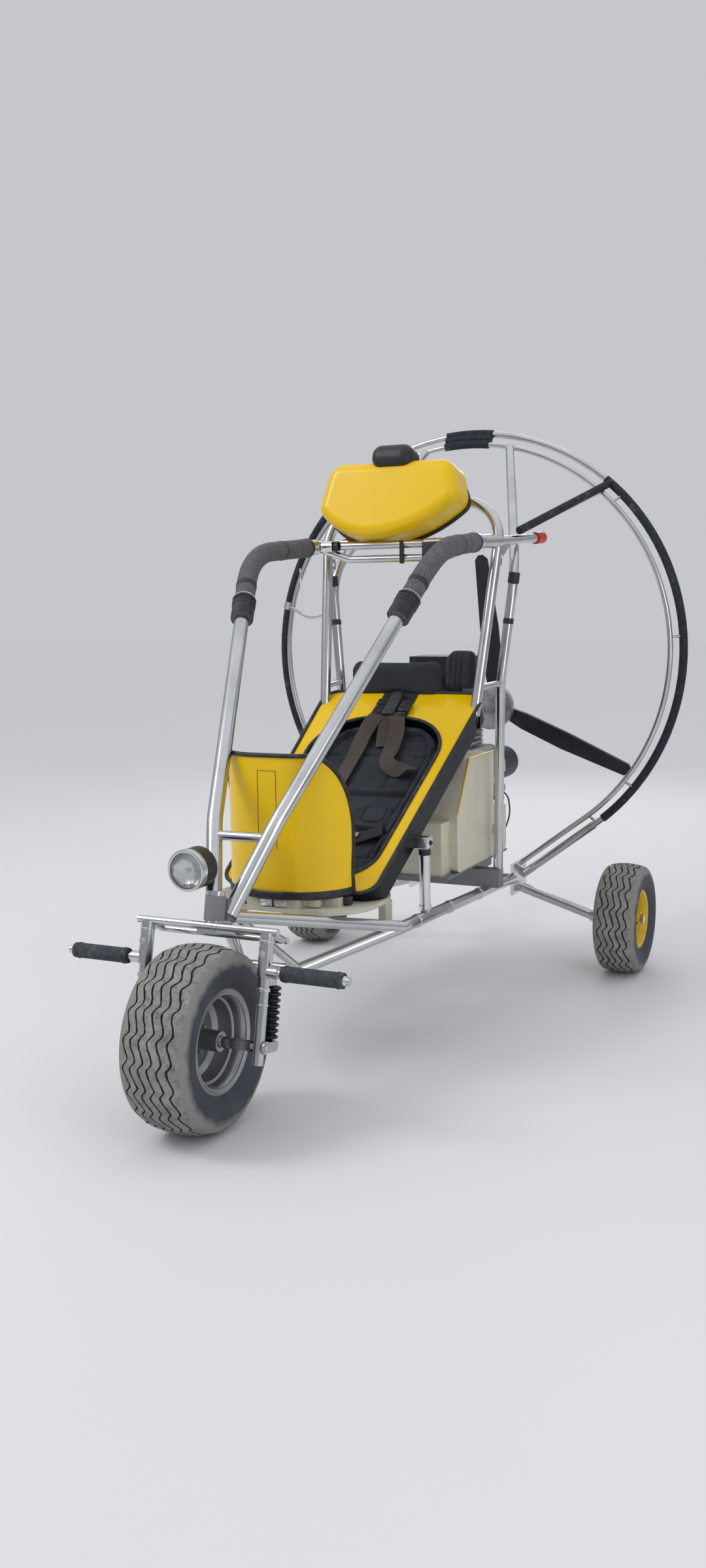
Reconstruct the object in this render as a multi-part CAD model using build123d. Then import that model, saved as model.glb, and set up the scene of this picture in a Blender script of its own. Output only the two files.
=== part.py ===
from build123d import *
from math import cos, radians, sin, tan
import os

# Single-seat paramotor trike. Millimetres, +Z up, the front points to -Y and +X is the trike's left.
# Every piece is laid out with y = 0 at the front axle. At the end all of them move by one named
# distance, which puts the origin on the floor under the middle of the trike's length.

# Fits
running_gap = 0.1            # radial, shaft in a bore that turns
seat_gap = 0.3               # a sleeve or a soft piece on what carries it
moving_gap = 6.0             # least distance between a moving and a fixed piece
end_gap = 0.5                # beside a hub, along its axle

# Front wheel, 16 x 6.50-8
front_tyre_radius = 203.0
front_tyre_width = 165.0
front_flange_radius = 114.0
front_bead_radius = 101.0
front_rim_width = 132.0
front_hub_half = 58.0
front_hub_radius = 24.0
front_dish = 78.0

# Rear wheels, 13 x 5.00-6
rear_tyre_radius = 165.0
rear_tyre_width = 127.0
rear_flange_radius = 88.0
rear_bead_radius = 76.0
rear_rim_width = 100.0
rear_hub_half = 48.0
rear_hub_radius = 22.0
rear_dish = 40.0
rim_wall = 4.0
rear_track_half = 523.0
wheelbase = 1590.0

# Steering: the axis leans back at its top, and the legs stand ahead of it
rake = 12.0
fork_offset = 28.0
crown_height = 240.0         # along the axis, from axle to crown
crown_half_width = 175.0
crown_bar_radius = 8.5
rear_bar_half = 163.0
rear_bar_radius = 7.5
rear_bar_back = 42.0
rear_bar_drop = 18.0
crown_block_half = 25.0
crown_block_thick = 20.0
crown_top = 4.0              # top of the crown's block above its middle
stem_radius = 14.0
stem_nut = 10.0
nut_wall = 6.0
head_race = 8.0              # height of the lower steering bearing
bearing_gap = 0.6
head_tube_wall = 9.0
head_tube_length = 54.0
head_block_half = 26.0
head_block_back = 46.0

# Fork legs, with their springs and foot pegs
leg_x = 150.0
upper_leg_radius = 15.5
lower_leg_radius = 12.5
upper_leg_length = 92.0
leg_tail = 38.0              # below the axle
front_axle_radius = 8.0
front_spacer_radius = 12.0
spring_back = 46.0           # behind the leg
spring_radius = 17.5
spring_length = 116.0
spring_turns = 9
spring_core_radius = 10.9
spring_fold_share = 0.6      # of the pitch that each fold fills
spring_seat = 12.0           # from the link's eye up to the spring
eye_radius = 11.5
link_thick = 5.0
peg_drop = 82.0
peg_reach = 350.0
peg_radius = 9.0
peg_boss_radius = 13.0
peg_boss_length = 18.0
peg_tip = 14.0
peg_grip_radius = 17.0
peg_grip_length = 142.0

# Frame tubes
hoop_radius = 18.5
rail_radius = 14.0
lower_rail_radius = 15.0
brace_radius = 10.0
mast_radius = 13.5
roll_bar_radius = 14.5
cross_tube_radius = 11.0
crossbar_radius = 11.5
bow_radius = 10.5
link_radius = 9.0

# Hoops, from the head over the cockpit to the roll bar, as (x, y, z) on the left side
hoop_foot = (20, 112, 452)
hoop_shin = (80, 225, 640)
hoop_knee = (265, 745, 1255)
hoop_tee = (245, 1081, 1281)
hoop_shin_bend = 260.0
hoop_knee_bend = 230.0
hoop_tee_bend = 120.0
hoop_cross_height = 609.0
grip_radius = 25.5
collar_radius = 28.0
collar_length = 46.0
grip_height = 1120.0         # height of the grip's lower end on the hoop
grip_end_share = 0.86        # of the way from knee to tee
bow_end_share = 0.89         # of the crossbar's half length
bow_drop = 38.0
bow_bend = 60.0

# Roll bar behind the seat, with links to the masts, arms for the rear lamps and hang lugs
roll_bar_foot = (228, 1088, 812)
roll_bar_top = (268, 1215, 1397)
roll_bar_bend = 110.0
link_height = 888.0
lamp_arm_end = (300, 1392, 1299)
lamp_arm_radius = 13.0
rear_lamp_radius = 17.0
rear_lamp_length = 40.0
lug_height = 1235.0
lug_thick = 6.0
lug_half = 15.0
lug_reach = 30.0             # from the roll bar's axis back to the bore
lug_bore = 5.5

# Masts, which rise from the beam to the ring
mast_foot = (226, 1284)
mast_waist = (250, 1238, 893)
mast_shoulder = (284, 1262, 1208)
mast_waist_bend = 360.0
mast_bend = 180.0
mast_ring_angle = 12.6       # from the ring's top
strut_height = 1310.0        # height of the strut's lower end on the mast
strut_angle = 41.5
strut_radius = 8.0

# Ring tubes round the propeller
ring_z = 965.0
ring_rear_y = 1670.0
ring_rear_radius = 669.0
ring_rear_tube = 9.5
ring_front_y = 1640.0
ring_front_radius = 636.0
ring_front_tube = 8.0
ring_tail_tube = 12.5
ring_tail_angle = 37.0       # from the bottom, where the straight tails start
ring_foam_radius = 12.5
ring_foam_from = 40.0        # from the top
ring_foam_to = 140.0
ring_sleeve_angle = 6.4
ring_sleeve_wall = 4.0
spacer_radius = 4.0
spacer_angles = (46.0, 86.0, 128.0, 142.0)

# Underframe
nose = (80, 320, 282)
waist = (250, 535, 350)
tail = (172, 1570, 262)
waist_bend = 70.0
rail_start_x = 18.0
rail_start_back = 52.0
rail_start_up = 22.0
beam_y = 1275.0
beam_height = 52.0
beam_depth = 40.0
beam_half = 238.0
beam_saddle = 2.0            # depth of the rails' saddles in the beam
engine_rail_x = 80.0
engine_rail_size = 34.0
mount_half = 8.0
mount_length = 78.0
deck_thick = 5.5
deck_lift = 29.5             # top of the deck above the beam
deck_tongue = 120.0
deck_rim = 8.0               # of the deck beyond the tank
plate_thick = 10.0
plate_below = 52.0
plate_above = 46.0
post_y = 705.0
post_size = 18.0
post_head_height = 28.0
post_head_length = 32.0
post_head_inset = 20.0       # of the head under the seat's rim
tray_front_y = 336.0
tray_back_y = 640.0
tray_half = 214.0
tray_corner = 120.0
tray_z = 408.0
tray_thick = 11.0
tray_foot_half = 9.0
block_height = 22.0
block_half = 22.0
block_places = ((48, 354), (128, 404))

# Seat: a slab rim that leans back, with a tub below it
seat_lean = 32.3
seat_front_y = 455.0
seat_front_z = 442.0
seat_length = 800.0
seat_half_top = 242.0
seat_half_bottom = 206.0
seat_corner = 46.0
seat_rim_thick = 62.0
seat_wall = 6.0
tub_extra = 34.0             # depth of the tub below the rim slab
well_side = 38.0             # margins from the seat's outline to the well
well_front = 52.0
well_back = 118.0
well_corner = 90.0
well_top_corner = 150.0
pad_gap = 4.0
cushion_thick = 48.0
notch_size = 26.0

# Belts and pads
belt_width = 42.0
belt_thick = 3.0
strap_x = 36.0
strap_turn = 9.0
strap_drop = 72.0            # along the strap, from the rim's level down to the cushion
strap_length = 350.0
lap_belt_at = 210.0
lap_belt_length = 250.0
buckle_size = (62.0, 52.0, 11.0)
belt_block_size = (74.0, 92.0, 18.0)
belt_block_at = 716.0
back_pad_x = (-172.0, 150.0)
back_pad_y = (1122.0, 1162.0)
back_pad_z = (848.0, 966.0)

# Nose cowl
cowl_front_y = 338.0
cowl_back_y = 453.0
cowl_half = 160.0
cowl_corner = 125.0
cowl_wall = 5.0
cowl_flange = 42.0
cowl_top_z = 778.0
cowl_edge = ((26, 340), (84, 262), (116, 112), (110, 50), (118, -2))   # rear edge, back and up

# Fuel tank
tank_half = 196.0
tank_nose_half = 172.0
tank_nose_y = 976.0
tank_front_y = 1036.0
tank_crest_y = 1128.0
tank_back_y = 1330.0
tank_tail_y = 1440.0
tank_knee_z = 545.0
tank_top_z = 690.0
tank_tail_z = 522.0
tank_corner = 18.0

# Propeller and engine
hub_y = 1900.0
hub_z = 775.0
hub_radius = 46.0
hub_nose = 34.0
hub_nose_radius = 26.0
boss_radius = 30.0
boss_length = 18.0
blade_hub_thick = 30.0
pulley_radius = 75.0
pulley_thick = 24.0
shaft_radius = 12.0
blade_radius = 500.0
blade_count = 3
blade_lead = -24.0          # the lower left blade, from the horizontal
blade_pitch = 14.0
blade_thick = 10.0
blade_sections = ((0.06, 16, 22), (0.22, 24, 34), (0.52, 26, 36), (0.97, 20, 22), (1.0, 8, 8))
engine_y = 1560.0
engine_z = 610.0
case_half = 88.0
case_front = 75.0
case_rear = 105.0
case_below = 70.0
case_above = 62.0
case_corner = 22.0
cylinder_radius = 44.0
cylinder_front = 10.0
fin_count = 8
fin_pitch = 16.0
fin_thick = 5.0
fin_size = (124.0, 116.0)
cover_lift = 24.0            # of the cover's foot above the highest fin's level
duct_height = 86.0
duct_half = 62.0
duct_front = 130.0           # ahead of the engine's middle
duct_back = 44.0
airbox_x = (-74.0, 112.0)
airbox_front = 215.0         # ahead of the engine's middle
airbox_back = 84.0
airbox_height = 60.0
airbox_overlap = 8.0
drive_plate_half = 34.0
drive_plate_thick = 12.0
carrier_radius = 22.0
exhaust_x = 62.0
exhaust_z = 602.0
exhaust_radius = 52.0
exhaust_length = 116.0
exhaust_pipe_radius = 17.0
carb_x = 59.0
carb_z = 519.0
carb_half = 25.0
carb_length = 72.0
filter_radius = 22.0
filter_length = 28.0
cable_radius = 2.5
cable_route = ((49, 49, -20), (57, 47, -72), (49, 25, -120), (33, -25, -162))

# Top container
container_x = -20.0
container_y = 1040.0
container_width = 420.0
container_height = 212.0
container_depth = 104.0
container_lean = 13.0
container_corner = 46.0
container_edge = 30.0
container_hip_corner = 40.0
container_top_share = 0.86   # of the half width, at the top
container_left_hip = 0.50    # of the height, where it is widest on the left
container_right_hip = 0.38
container_foot_x = -50.0     # lowest place of its round bottom
cap_size = (122.0, 66.0, 92.0)
cap_edge = 30.0
cap_x = 8.0
cap_forward = 22.0
cap_lift = 10.0              # of its middle above the container's top

# Headlamp
lamp_x = -60.0
lamp_y = 66.0
lamp_z = 552.0
lamp_radius = 46.0
lamp_depth = 58.0
lamp_wall = 5.0
lamp_neck_radius = 28.0
lens_depth = 15.0
lens_inset = 3.0

# Rear axles
stub_radius = 10.0
stub_collar_radius = 15.0
stub_nut = 10.0
axle_tube_radius = 15.0
axle_sleeve_radius = 20.0
knuckle_x = 418.0
axle_plate_back = 44.0       # from the rail's tail, where the axle tube leaves the plate
axle_plate_drop = 30.0

# Places that follow from the sizes above
front_axle_z = front_tyre_radius
rear_axle_z = rear_tyre_radius
pulley_front_y = hub_y - blade_hub_thick / 2 - boss_length - pulley_thick
y_front_end = -front_tyre_radius
y_back_end = hub_y + blade_hub_thick / 2 + hub_nose
y_middle = (y_front_end + y_back_end) / 2

tray_top = tray_z + tray_thick
seat_floor_z = tray_top + seat_gap
seat_depth = seat_rim_thick + tub_extra
cushion_base = seat_depth - seat_wall - seat_gap
cushion_face = cushion_base - cushion_thick
cowl_bottom = tray_top + block_height
head_bottom = crown_top + head_race + bearing_gap
head_top = head_bottom + head_tube_length
stem_top = head_top + bearing_gap + stem_nut

rake_sin = sin(radians(rake))
rake_cos = cos(radians(rake))
crown_y = fork_offset * rake_cos + crown_height * rake_sin
crown_z = front_axle_z - fork_offset * rake_sin + crown_height * rake_cos
beam_z = waist[2] + (tail[2] - waist[2]) * (beam_y - waist[1]) / (tail[1] - waist[1])
beam_bottom = beam_z + lower_rail_radius - beam_saddle
beam_top = beam_bottom + beam_height
deck_top = beam_top + deck_lift
case_back_y = engine_y + case_rear
case_bottom = engine_z - case_below
case_top = engine_z + case_above
cover_bottom = case_top + fin_count * fin_pitch + cover_lift

pieces = {}


def rod(start, end, radius):
    """Straight round bar between two points."""
    a, b = Vector(*start), Vector(*end)
    return Solid.make_cylinder(radius, (b - a).length, Plane(origin=a, z_dir=b - a))


def bent(points, bends, radius):
    """Round tube along straight runs that are joined by arcs."""
    path = FilletPolyline(*points, radius=bends)
    start = Plane(origin=path @ 0, z_dir=path % 0)
    return sweep(start * Circle(radius), path=path).solid()


def cord_bends(route):
    """Bend radii as large as the runs beside each point of a cord allow."""
    bends = []
    for a, b, c in zip(route, route[1:], route[2:]):
        before, after = Vector(*b) - Vector(*a), Vector(*c) - Vector(*b)
        half_turn = radians(before.get_angle(after)) / 2
        bends.append(0.45 * min(before.length, after.length) / tan(half_turn))
    return bends


def box(x, y, z):
    """Box between three pairs of limits."""
    size = (abs(x[1] - x[0]), y[1] - y[0], z[1] - z[0])
    middle = ((x[0] + x[1]) / 2, (y[0] + y[1]) / 2, (z[0] + z[1]) / 2)
    return Pos(*middle) * Box(*size)


def mirrored(shape):
    """The same piece on the other side."""
    return shape.mirror(Plane.YZ)


def largest(shape):
    """The main solid of a cut shape, without its off-cuts."""
    return max(shape.solids(), key=lambda solid: solid.volume)


def on_side(point, side):
    """A point of the left side for side 1, or its mirror image for side -1."""
    return (side * point[0], point[1], point[2])


def between(a, b, share):
    """Point at a share of the way from a to b."""
    return tuple(p + (q - p) * share for p, q in zip(a, b))


def at_height(a, b, z):
    """Point at height z on the line from a to b."""
    return between(a, b, (z - a[2]) / (b[2] - a[2]))


def in_fork(x, back, up):
    """Point given across, behind and along the steering axis, from its crossing with the crown."""
    return (x, crown_y + back * rake_cos + up * rake_sin, crown_z - back * rake_sin + up * rake_cos)


def fork_plane(back=0.0, up=0.0, x=0.0):
    """Plane whose z runs up the steering axis and whose y runs back."""
    return Plane(origin=in_fork(x, back, up), x_dir=(1, 0, 0), z_dir=(0, rake_sin, rake_cos))


def keep(name, *shapes):
    """Store the solids of one node."""
    pieces[name] = [solid for shape in shapes for solid in shape.solids()]


def trimmed(shape, *names):
    """The main solid of a shape after the named nodes are cut from it."""
    for name in names:
        for solid in pieces[name]:
            shape -= solid
    return largest(shape)


hoop_end = at_height(roll_bar_foot, roll_bar_top, hoop_tee[2] + 5)
crossbar_at = between(hoop_tee, hoop_end, 0.1)


# Wheels
def tyre(radius, width, flange_radius, bead_radius, rim_width):
    """Tyre about the X axis, with a flat crown and round sidewalls."""
    half = width / 2
    inner = rim_width / 2 - rim_wall - seat_gap
    low = bead_radius + seat_gap
    shoulder = radius - width * 0.085
    lip = (rim_width / 2, flange_radius + seat_gap + 2)
    with BuildSketch(Plane.XY) as section:
        with BuildLine():
            Line((-inner, low), (inner, low))
            Line((inner, low), (inner, flange_radius + seat_gap))
            Line((inner, flange_radius + seat_gap), lip)
            ThreePointArc(lip, (half, (shoulder + flange_radius) / 2), (half * 0.86, shoulder))
            ThreePointArc((half * 0.86, shoulder), (0, radius), (-half * 0.86, shoulder))
            ThreePointArc((-half * 0.86, shoulder), (-half, (shoulder + flange_radius) / 2), (-lip[0], lip[1]))
            Line((-lip[0], lip[1]), (-inner, flange_radius + seat_gap))
            Line((-inner, flange_radius + seat_gap), (-inner, low))
        make_face()
    return revolve(section.sketch, Axis.X, 360).solid()


def rim(flange_radius, bead_radius, rim_width, dish, hub_half, hub_radius, axle_radius):
    """Pressed rim with its flanges, a web set in by the dish, and a bored hub."""
    half = rim_width / 2
    well = bead_radius - rim_wall
    wheel = Cylinder(bead_radius, rim_width) - Cylinder(well, rim_width + 2)
    for side in (-1, 1):
        wheel += Pos(0, 0, side * (half - rim_wall / 2)) * (Cylinder(flange_radius, rim_wall)
                                                            - Cylinder(well, rim_wall + 2))
    wheel += Pos(0, 0, half - dish) * Cylinder(well + 1, rim_wall)
    wheel += Cylinder(hub_radius, 2 * hub_half)
    wheel -= Cylinder(axle_radius + running_gap, 2 * hub_half + 2)
    return Rot(0, 90, 0) * wheel


def wheel_nodes():
    front_place = Pos(0, 0, front_axle_z)
    keep("front_tyre", front_place * tyre(front_tyre_radius, front_tyre_width, front_flange_radius,
                                          front_bead_radius, front_rim_width))
    keep("front_rim", front_place * rim(front_flange_radius, front_bead_radius, front_rim_width, front_dish,
                                        front_hub_half, front_hub_radius, front_axle_radius))
    for side, name in ((1, "left"), (-1, "right")):
        place = Pos(side * rear_track_half, wheelbase, rear_axle_z)
        turn = Rot(0, 0, 0 if side > 0 else 180)
        keep("rear_tyre_" + name, place * tyre(rear_tyre_radius, rear_tyre_width, rear_flange_radius,
                                               rear_bead_radius, rear_rim_width))
        keep("rear_rim_" + name, place * turn * rim(rear_flange_radius, rear_bead_radius, rear_rim_width,
                                                    rear_dish, rear_hub_half, rear_hub_radius, stub_radius))


# Fork
def fork_nodes():
    crown = rod(in_fork(-crown_half_width, -fork_offset, 2), in_fork(crown_half_width, -fork_offset, 2),
                crown_bar_radius)
    crown += rod(in_fork(-rear_bar_half, rear_bar_back, -rear_bar_drop),
                 in_fork(rear_bar_half, rear_bar_back, -rear_bar_drop), rear_bar_radius)
    for side in (-1, 1):
        crown += rod(in_fork(side * (rear_bar_half - 8), -fork_offset, 0),
                     in_fork(side * (rear_bar_half - 8), rear_bar_back, -rear_bar_drop), rear_bar_radius)
    crown += (fork_plane((rear_bar_back - fork_offset) / 2, crown_top - crown_block_thick / 2)
              * Box(2 * crown_block_half, rear_bar_back + fork_offset, crown_block_thick))
    crown += rod(in_fork(0, 0, 0), in_fork(0, 0, crown_top + head_race), stem_radius + nut_wall)
    crown += rod(in_fork(0, 0, 0), in_fork(0, 0, stem_top), stem_radius)
    crown += rod(in_fork(0, 0, stem_top - stem_nut), in_fork(0, 0, stem_top), stem_radius + nut_wall)
    keep("fork_crown", crown)

    spring_line = spring_back - fork_offset
    spring_foot = spring_seat - crown_height
    spring_top = spring_foot + spring_length
    peg_start = leg_x + upper_leg_radius
    legs, springs, grips = [], [], []
    for side in (-1, 1):
        x = side * leg_x
        leg = rod(in_fork(x, -fork_offset, 0), in_fork(x, -fork_offset, -upper_leg_length), upper_leg_radius)
        leg += rod(in_fork(x, -fork_offset, 1 - upper_leg_length),
                   in_fork(x, -fork_offset, -crown_height - leg_tail), lower_leg_radius)
        leg += fork_plane(spring_line - spring_back / 2, spring_top + 6, x) * Box(14, spring_back, 12)
        leg += rod(in_fork(x, -fork_offset, -peg_drop), in_fork(side * peg_reach, -fork_offset, -peg_drop),
                   peg_radius)
        leg += rod(in_fork(x, -fork_offset, -peg_drop),
                   in_fork(side * (peg_start + peg_boss_length), -fork_offset, -peg_drop), peg_boss_radius)
        leg -= rod((x - 40, 0, front_axle_z), (x + 40, 0, front_axle_z), front_axle_radius + 0.05)
        legs.append(trimmed(leg, "fork_crown"))

        coil = rod(in_fork(x, spring_line, spring_foot), in_fork(x, spring_line, spring_top), spring_core_radius)
        pitch = spring_length / spring_turns
        fold = pitch * spring_fold_share / 2
        for turn in range(spring_turns):
            middle = spring_top - (turn + 0.5) * pitch
            coil += rod(in_fork(x, spring_line, middle - fold), in_fork(x, spring_line, middle + fold),
                        spring_radius)
        springs.append(coil.solid())

        grip_start, grip_end = peg_reach - peg_tip - peg_grip_length, peg_reach - peg_tip
        grip = rod(in_fork(side * grip_start, -fork_offset, -peg_drop),
                   in_fork(side * grip_end, -fork_offset, -peg_drop), peg_grip_radius)
        grip -= rod(in_fork(side * (grip_start - 1), -fork_offset, -peg_drop),
                    in_fork(side * peg_reach, -fork_offset, -peg_drop), peg_radius + seat_gap)
        grips.append(grip)
    keep("fork_legs", *legs)
    keep("fork_springs", *springs)
    keep("peg_grips", *grips)

    axle = rod((-leg_x - 20, 0, front_axle_z), (leg_x + 20, 0, front_axle_z), front_axle_radius)
    for side in (-1, 1):
        x = side * leg_x
        outer = side * (leg_x + lower_leg_radius + 3.5)
        axle += rod((outer - link_thick / 2, 0, front_axle_z), (outer + link_thick / 2, 0, front_axle_z), 14)
        axle += (fork_plane(spring_line / 2 - fork_offset / 2, -crown_height, outer)
                 * Box(link_thick, spring_back, 2 * eye_radius - 1))
        eye = in_fork(x, spring_line, -crown_height)
        axle += rod((outer, eye[1], eye[2]), (x - side * 10, eye[1], eye[2]), eye_radius)
        axle += rod((side * (front_hub_half + end_gap), 0, front_axle_z),
                    (side * (leg_x - lower_leg_radius - 1), 0, front_axle_z), front_spacer_radius)
    keep("front_axle", trimmed(axle, "fork_legs"))


# Ring
def ring_point(radius, y, angle):
    """Point on a ring, by its angle from the top towards +X."""
    return (radius * sin(radians(angle)), y, ring_z + radius * cos(radians(angle)))


def ring_tube(radius, y, tube, from_angle, to_angle):
    """Round tube along an arc of a ring."""
    path = ThreePointArc(ring_point(radius, y, from_angle), ring_point(radius, y, (from_angle + to_angle) / 2),
                         ring_point(radius, y, to_angle))
    return sweep(Plane(origin=path @ 0, z_dir=path % 0) * Circle(tube), path=path).solid()


def ring_tail_ends(radius, y, side):
    """Start and end of the straight tail, which leaves the ring along its tangent."""
    angle = 180 - ring_tail_angle
    start = ring_point(radius, y, side * angle)
    along = (side * cos(radians(angle)), -sin(radians(angle)))
    run = (abs(start[0]) - tail[0]) / abs(along[0])
    return start, (start[0] + along[0] * run, y, start[2] + along[1] * run)


def ring_loop(radius, y, tube):
    """Ring tube open at the bottom, with both straight tails."""
    left_start, left_end = ring_tail_ends(radius, y, 1)
    right_start, right_end = ring_tail_ends(radius, y, -1)
    path = Line(right_end, right_start)
    path += ThreePointArc(right_start, ring_point(radius, y, 0), left_start)
    path += Line(left_start, left_end)
    return sweep(Plane(origin=path @ 0, z_dir=path % 0) * Circle(tube), path=path).solid()


def ring_nodes():
    rear = ring_loop(ring_rear_radius, ring_rear_y, ring_rear_tube)
    for side in (-1, 1):
        rear += rod(*ring_tail_ends(ring_rear_radius, ring_rear_y, side), ring_tail_tube)
    keep("ring_rear", rear)
    keep("ring_front", ring_loop(ring_front_radius, ring_front_y, ring_front_tube))

    covers = []
    for side in (-1, 1):
        foam = ring_tube(ring_rear_radius, ring_rear_y, ring_foam_radius, side * ring_foam_from,
                         side * ring_foam_to)
        foam -= ring_tube(ring_rear_radius, ring_rear_y, ring_rear_tube + seat_gap,
                          side * (ring_foam_from - 1), side * (ring_foam_to + 1))
        for angle in spacer_angles:
            foam -= rod(ring_point(ring_front_radius, ring_front_y, side * angle),
                        ring_point(ring_rear_radius, ring_rear_y, side * angle), spacer_radius + seat_gap)
        covers.append(largest(foam))
    rear_line = (ring_rear_radius, ring_rear_y, ring_rear_tube)
    front_line = (ring_front_radius, ring_front_y, ring_front_tube)
    middle_line = ((ring_rear_radius + ring_front_radius) / 2, (ring_rear_y + ring_front_y) / 2, ring_rear_tube)
    sleeve = None
    for radius, y, tube in (rear_line, front_line, middle_line):
        part = ring_tube(radius, y, tube + ring_sleeve_wall, -ring_sleeve_angle, ring_sleeve_angle)
        sleeve = sleeve + part if sleeve else part
    for radius, y, tube in (rear_line, front_line):
        sleeve -= ring_tube(radius, y, tube + seat_gap, -ring_sleeve_angle - 1, ring_sleeve_angle + 1)
    keep("ring_covers", *covers, largest(sleeve))


# Underframe
def lower_rail_point(y):
    """Point on the left lower rail behind the waist."""
    return between(waist, tail, (y - waist[1]) / (tail[1] - waist[1]))


def rail_nodes():
    lower = bent([nose, waist, tail], [waist_bend], lower_rail_radius)
    keep("lower_rails", lower, mirrored(lower))

    frame = box((-beam_half, beam_half), (beam_y - beam_depth / 2, beam_y + beam_depth / 2),
                (beam_bottom, beam_top))
    frame += rod(tail, on_side(tail, -1), lower_rail_radius)
    rail_top = beam_bottom + engine_rail_size
    half = engine_rail_size / 2
    for side in (-1, 1):
        x = side * engine_rail_x
        frame += box((x - half, x + half), (beam_y, tail[1] + half), (beam_bottom, rail_top))
        frame += box((x - half / 2, x + half / 2), (tail[1] - half / 2, tail[1] + half / 2),
                     (tail[2], beam_bottom + half))
        mount_back = tail[1] + half / 2
        frame += box((side * (x * side - mount_half - half / 2), side * (x * side - half / 2 + mount_half)),
                     (mount_back - mount_length, mount_back), (rail_top - 1, case_bottom))
    frame += box((-tank_half, tank_half), (tank_nose_y - deck_rim, tank_tail_y + deck_rim),
                 (deck_top - deck_thick, deck_top))
    frame += box((-deck_tongue, deck_tongue), (beam_y - beam_depth / 2, beam_y + beam_depth / 2),
                 (beam_top - 1, deck_top))
    keep("engine_frame", trimmed(frame, "lower_rails"))

    plates = []
    for side in (-1, 1):
        x = side * tail[0]
        plate = box((x - plate_thick / 2, x + plate_thick / 2), (tail[1] - 4, ring_rear_y + 2 * ring_rear_tube),
                    (tail[2] - plate_below, tail[2] + plate_above))
        plates.append(trimmed(plate, "lower_rails", "ring_rear", "ring_front", "engine_frame"))
    keep("junction_plates", *plates)


def mast_nodes():
    start = (*mast_foot, beam_top - mast_radius)
    top = ring_point(ring_front_radius, ring_front_y, mast_ring_angle)
    mast = bent([start, mast_waist, mast_shoulder, top], [mast_waist_bend, mast_bend], mast_radius)
    mast = trimmed(mast, "engine_frame", "ring_front")
    keep("masts", mast, mirrored(mast))

    stays = []
    for side in (-1, 1):
        for angle in spacer_angles:
            spacer = rod(ring_point(ring_front_radius, ring_front_y, side * angle),
                         ring_point(ring_rear_radius, ring_rear_y, side * angle), spacer_radius)
            stays.append(trimmed(spacer, "ring_rear", "ring_front"))
        strut = rod(on_side(at_height(mast_shoulder, top, strut_height), side),
                    ring_point(ring_front_radius, ring_front_y, side * strut_angle), strut_radius)
        stays.append(trimmed(strut, "masts", "ring_front"))
    keep("ring_stays", *stays)


def roll_bar_nodes():
    bar = bent([roll_bar_foot, roll_bar_top, on_side(roll_bar_top, -1), on_side(roll_bar_foot, -1)],
               [roll_bar_bend, roll_bar_bend], roll_bar_radius)
    caps = []
    for side in (-1, 1):
        bar += rod(on_side(at_height(roll_bar_foot, roll_bar_top, link_height), side), on_side(mast_waist, side),
                   link_radius)
        arm_start, arm_end = on_side(hoop_end, side), on_side(lamp_arm_end, side)
        bar += rod(arm_start, arm_end, lamp_arm_radius)
        reach = rear_lamp_length / (Vector(*arm_end) - Vector(*arm_start)).length
        caps.append(rod(arm_end, between(arm_start, arm_end, 1 + reach), rear_lamp_radius))
        x, y, z = on_side(at_height(roll_bar_foot, roll_bar_top, lug_height), side)
        bar += box((x - lug_thick / 2, x + lug_thick / 2), (y, y + lug_reach + lug_half),
                   (z - lug_half, z + lug_half))
        bar -= rod((x - lug_thick, y + lug_reach, z), (x + lug_thick, y + lug_reach, z), lug_bore)
    keep("roll_bar", trimmed(bar, "masts"))
    keep("rear_lamps", *caps)


def head_node():
    head = rod(in_fork(0, 0, head_bottom), in_fork(0, 0, head_top), stem_radius + head_tube_wall)
    head += (fork_plane(stem_radius + head_block_back / 2, (head_bottom + head_top) / 2 - 2)
             * Box(2 * head_block_half, head_block_back, head_tube_length - 8))
    head -= rod(in_fork(0, 0, 0), in_fork(0, 0, head_top + 5), stem_radius + running_gap)
    keep("steering_head", largest(head))


def hoop_nodes():
    hoop = bent([hoop_foot, hoop_shin, hoop_knee, hoop_tee, hoop_end],
                [hoop_shin_bend, hoop_knee_bend, hoop_tee_bend], hoop_radius)
    hoop = trimmed(hoop, "steering_head", "roll_bar")
    keep("hoops", hoop, mirrored(hoop))

    grip_start = at_height(hoop_shin, hoop_knee, grip_height)
    grip_end = between(hoop_knee, hoop_tee, grip_end_share)
    collar_share = collar_length / (Vector(*grip_start) - Vector(*hoop_shin)).length
    grip = bent([grip_start, hoop_knee, grip_end], [hoop_knee_bend], grip_radius)
    grip += rod(between(grip_start, hoop_shin, collar_share), grip_start, collar_radius)
    grip -= bent([hoop_shin, hoop_knee, hoop_tee], [hoop_knee_bend], hoop_radius + seat_gap)
    grip = largest(grip)
    keep("hoop_grips", grip, mirrored(grip))

    low_at = at_height(hoop_foot, hoop_shin, hoop_cross_height)
    low = trimmed(rod(low_at, on_side(low_at, -1), cross_tube_radius), "hoops")
    upper = rod(crossbar_at, on_side(crossbar_at, -1), crossbar_radius)
    bow_end = (crossbar_at[0] * bow_end_share, crossbar_at[1], crossbar_at[2] - crossbar_radius)
    bow_low = (bow_end[0] - bow_drop * 2, crossbar_at[1], crossbar_at[2] - bow_drop)
    bow = bent([bow_end, bow_low, on_side(bow_low, -1), on_side(bow_end, -1)], [bow_bend, bow_bend], bow_radius)
    keep("cross_tubes", low, trimmed(upper + bow, "hoops"))


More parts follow.
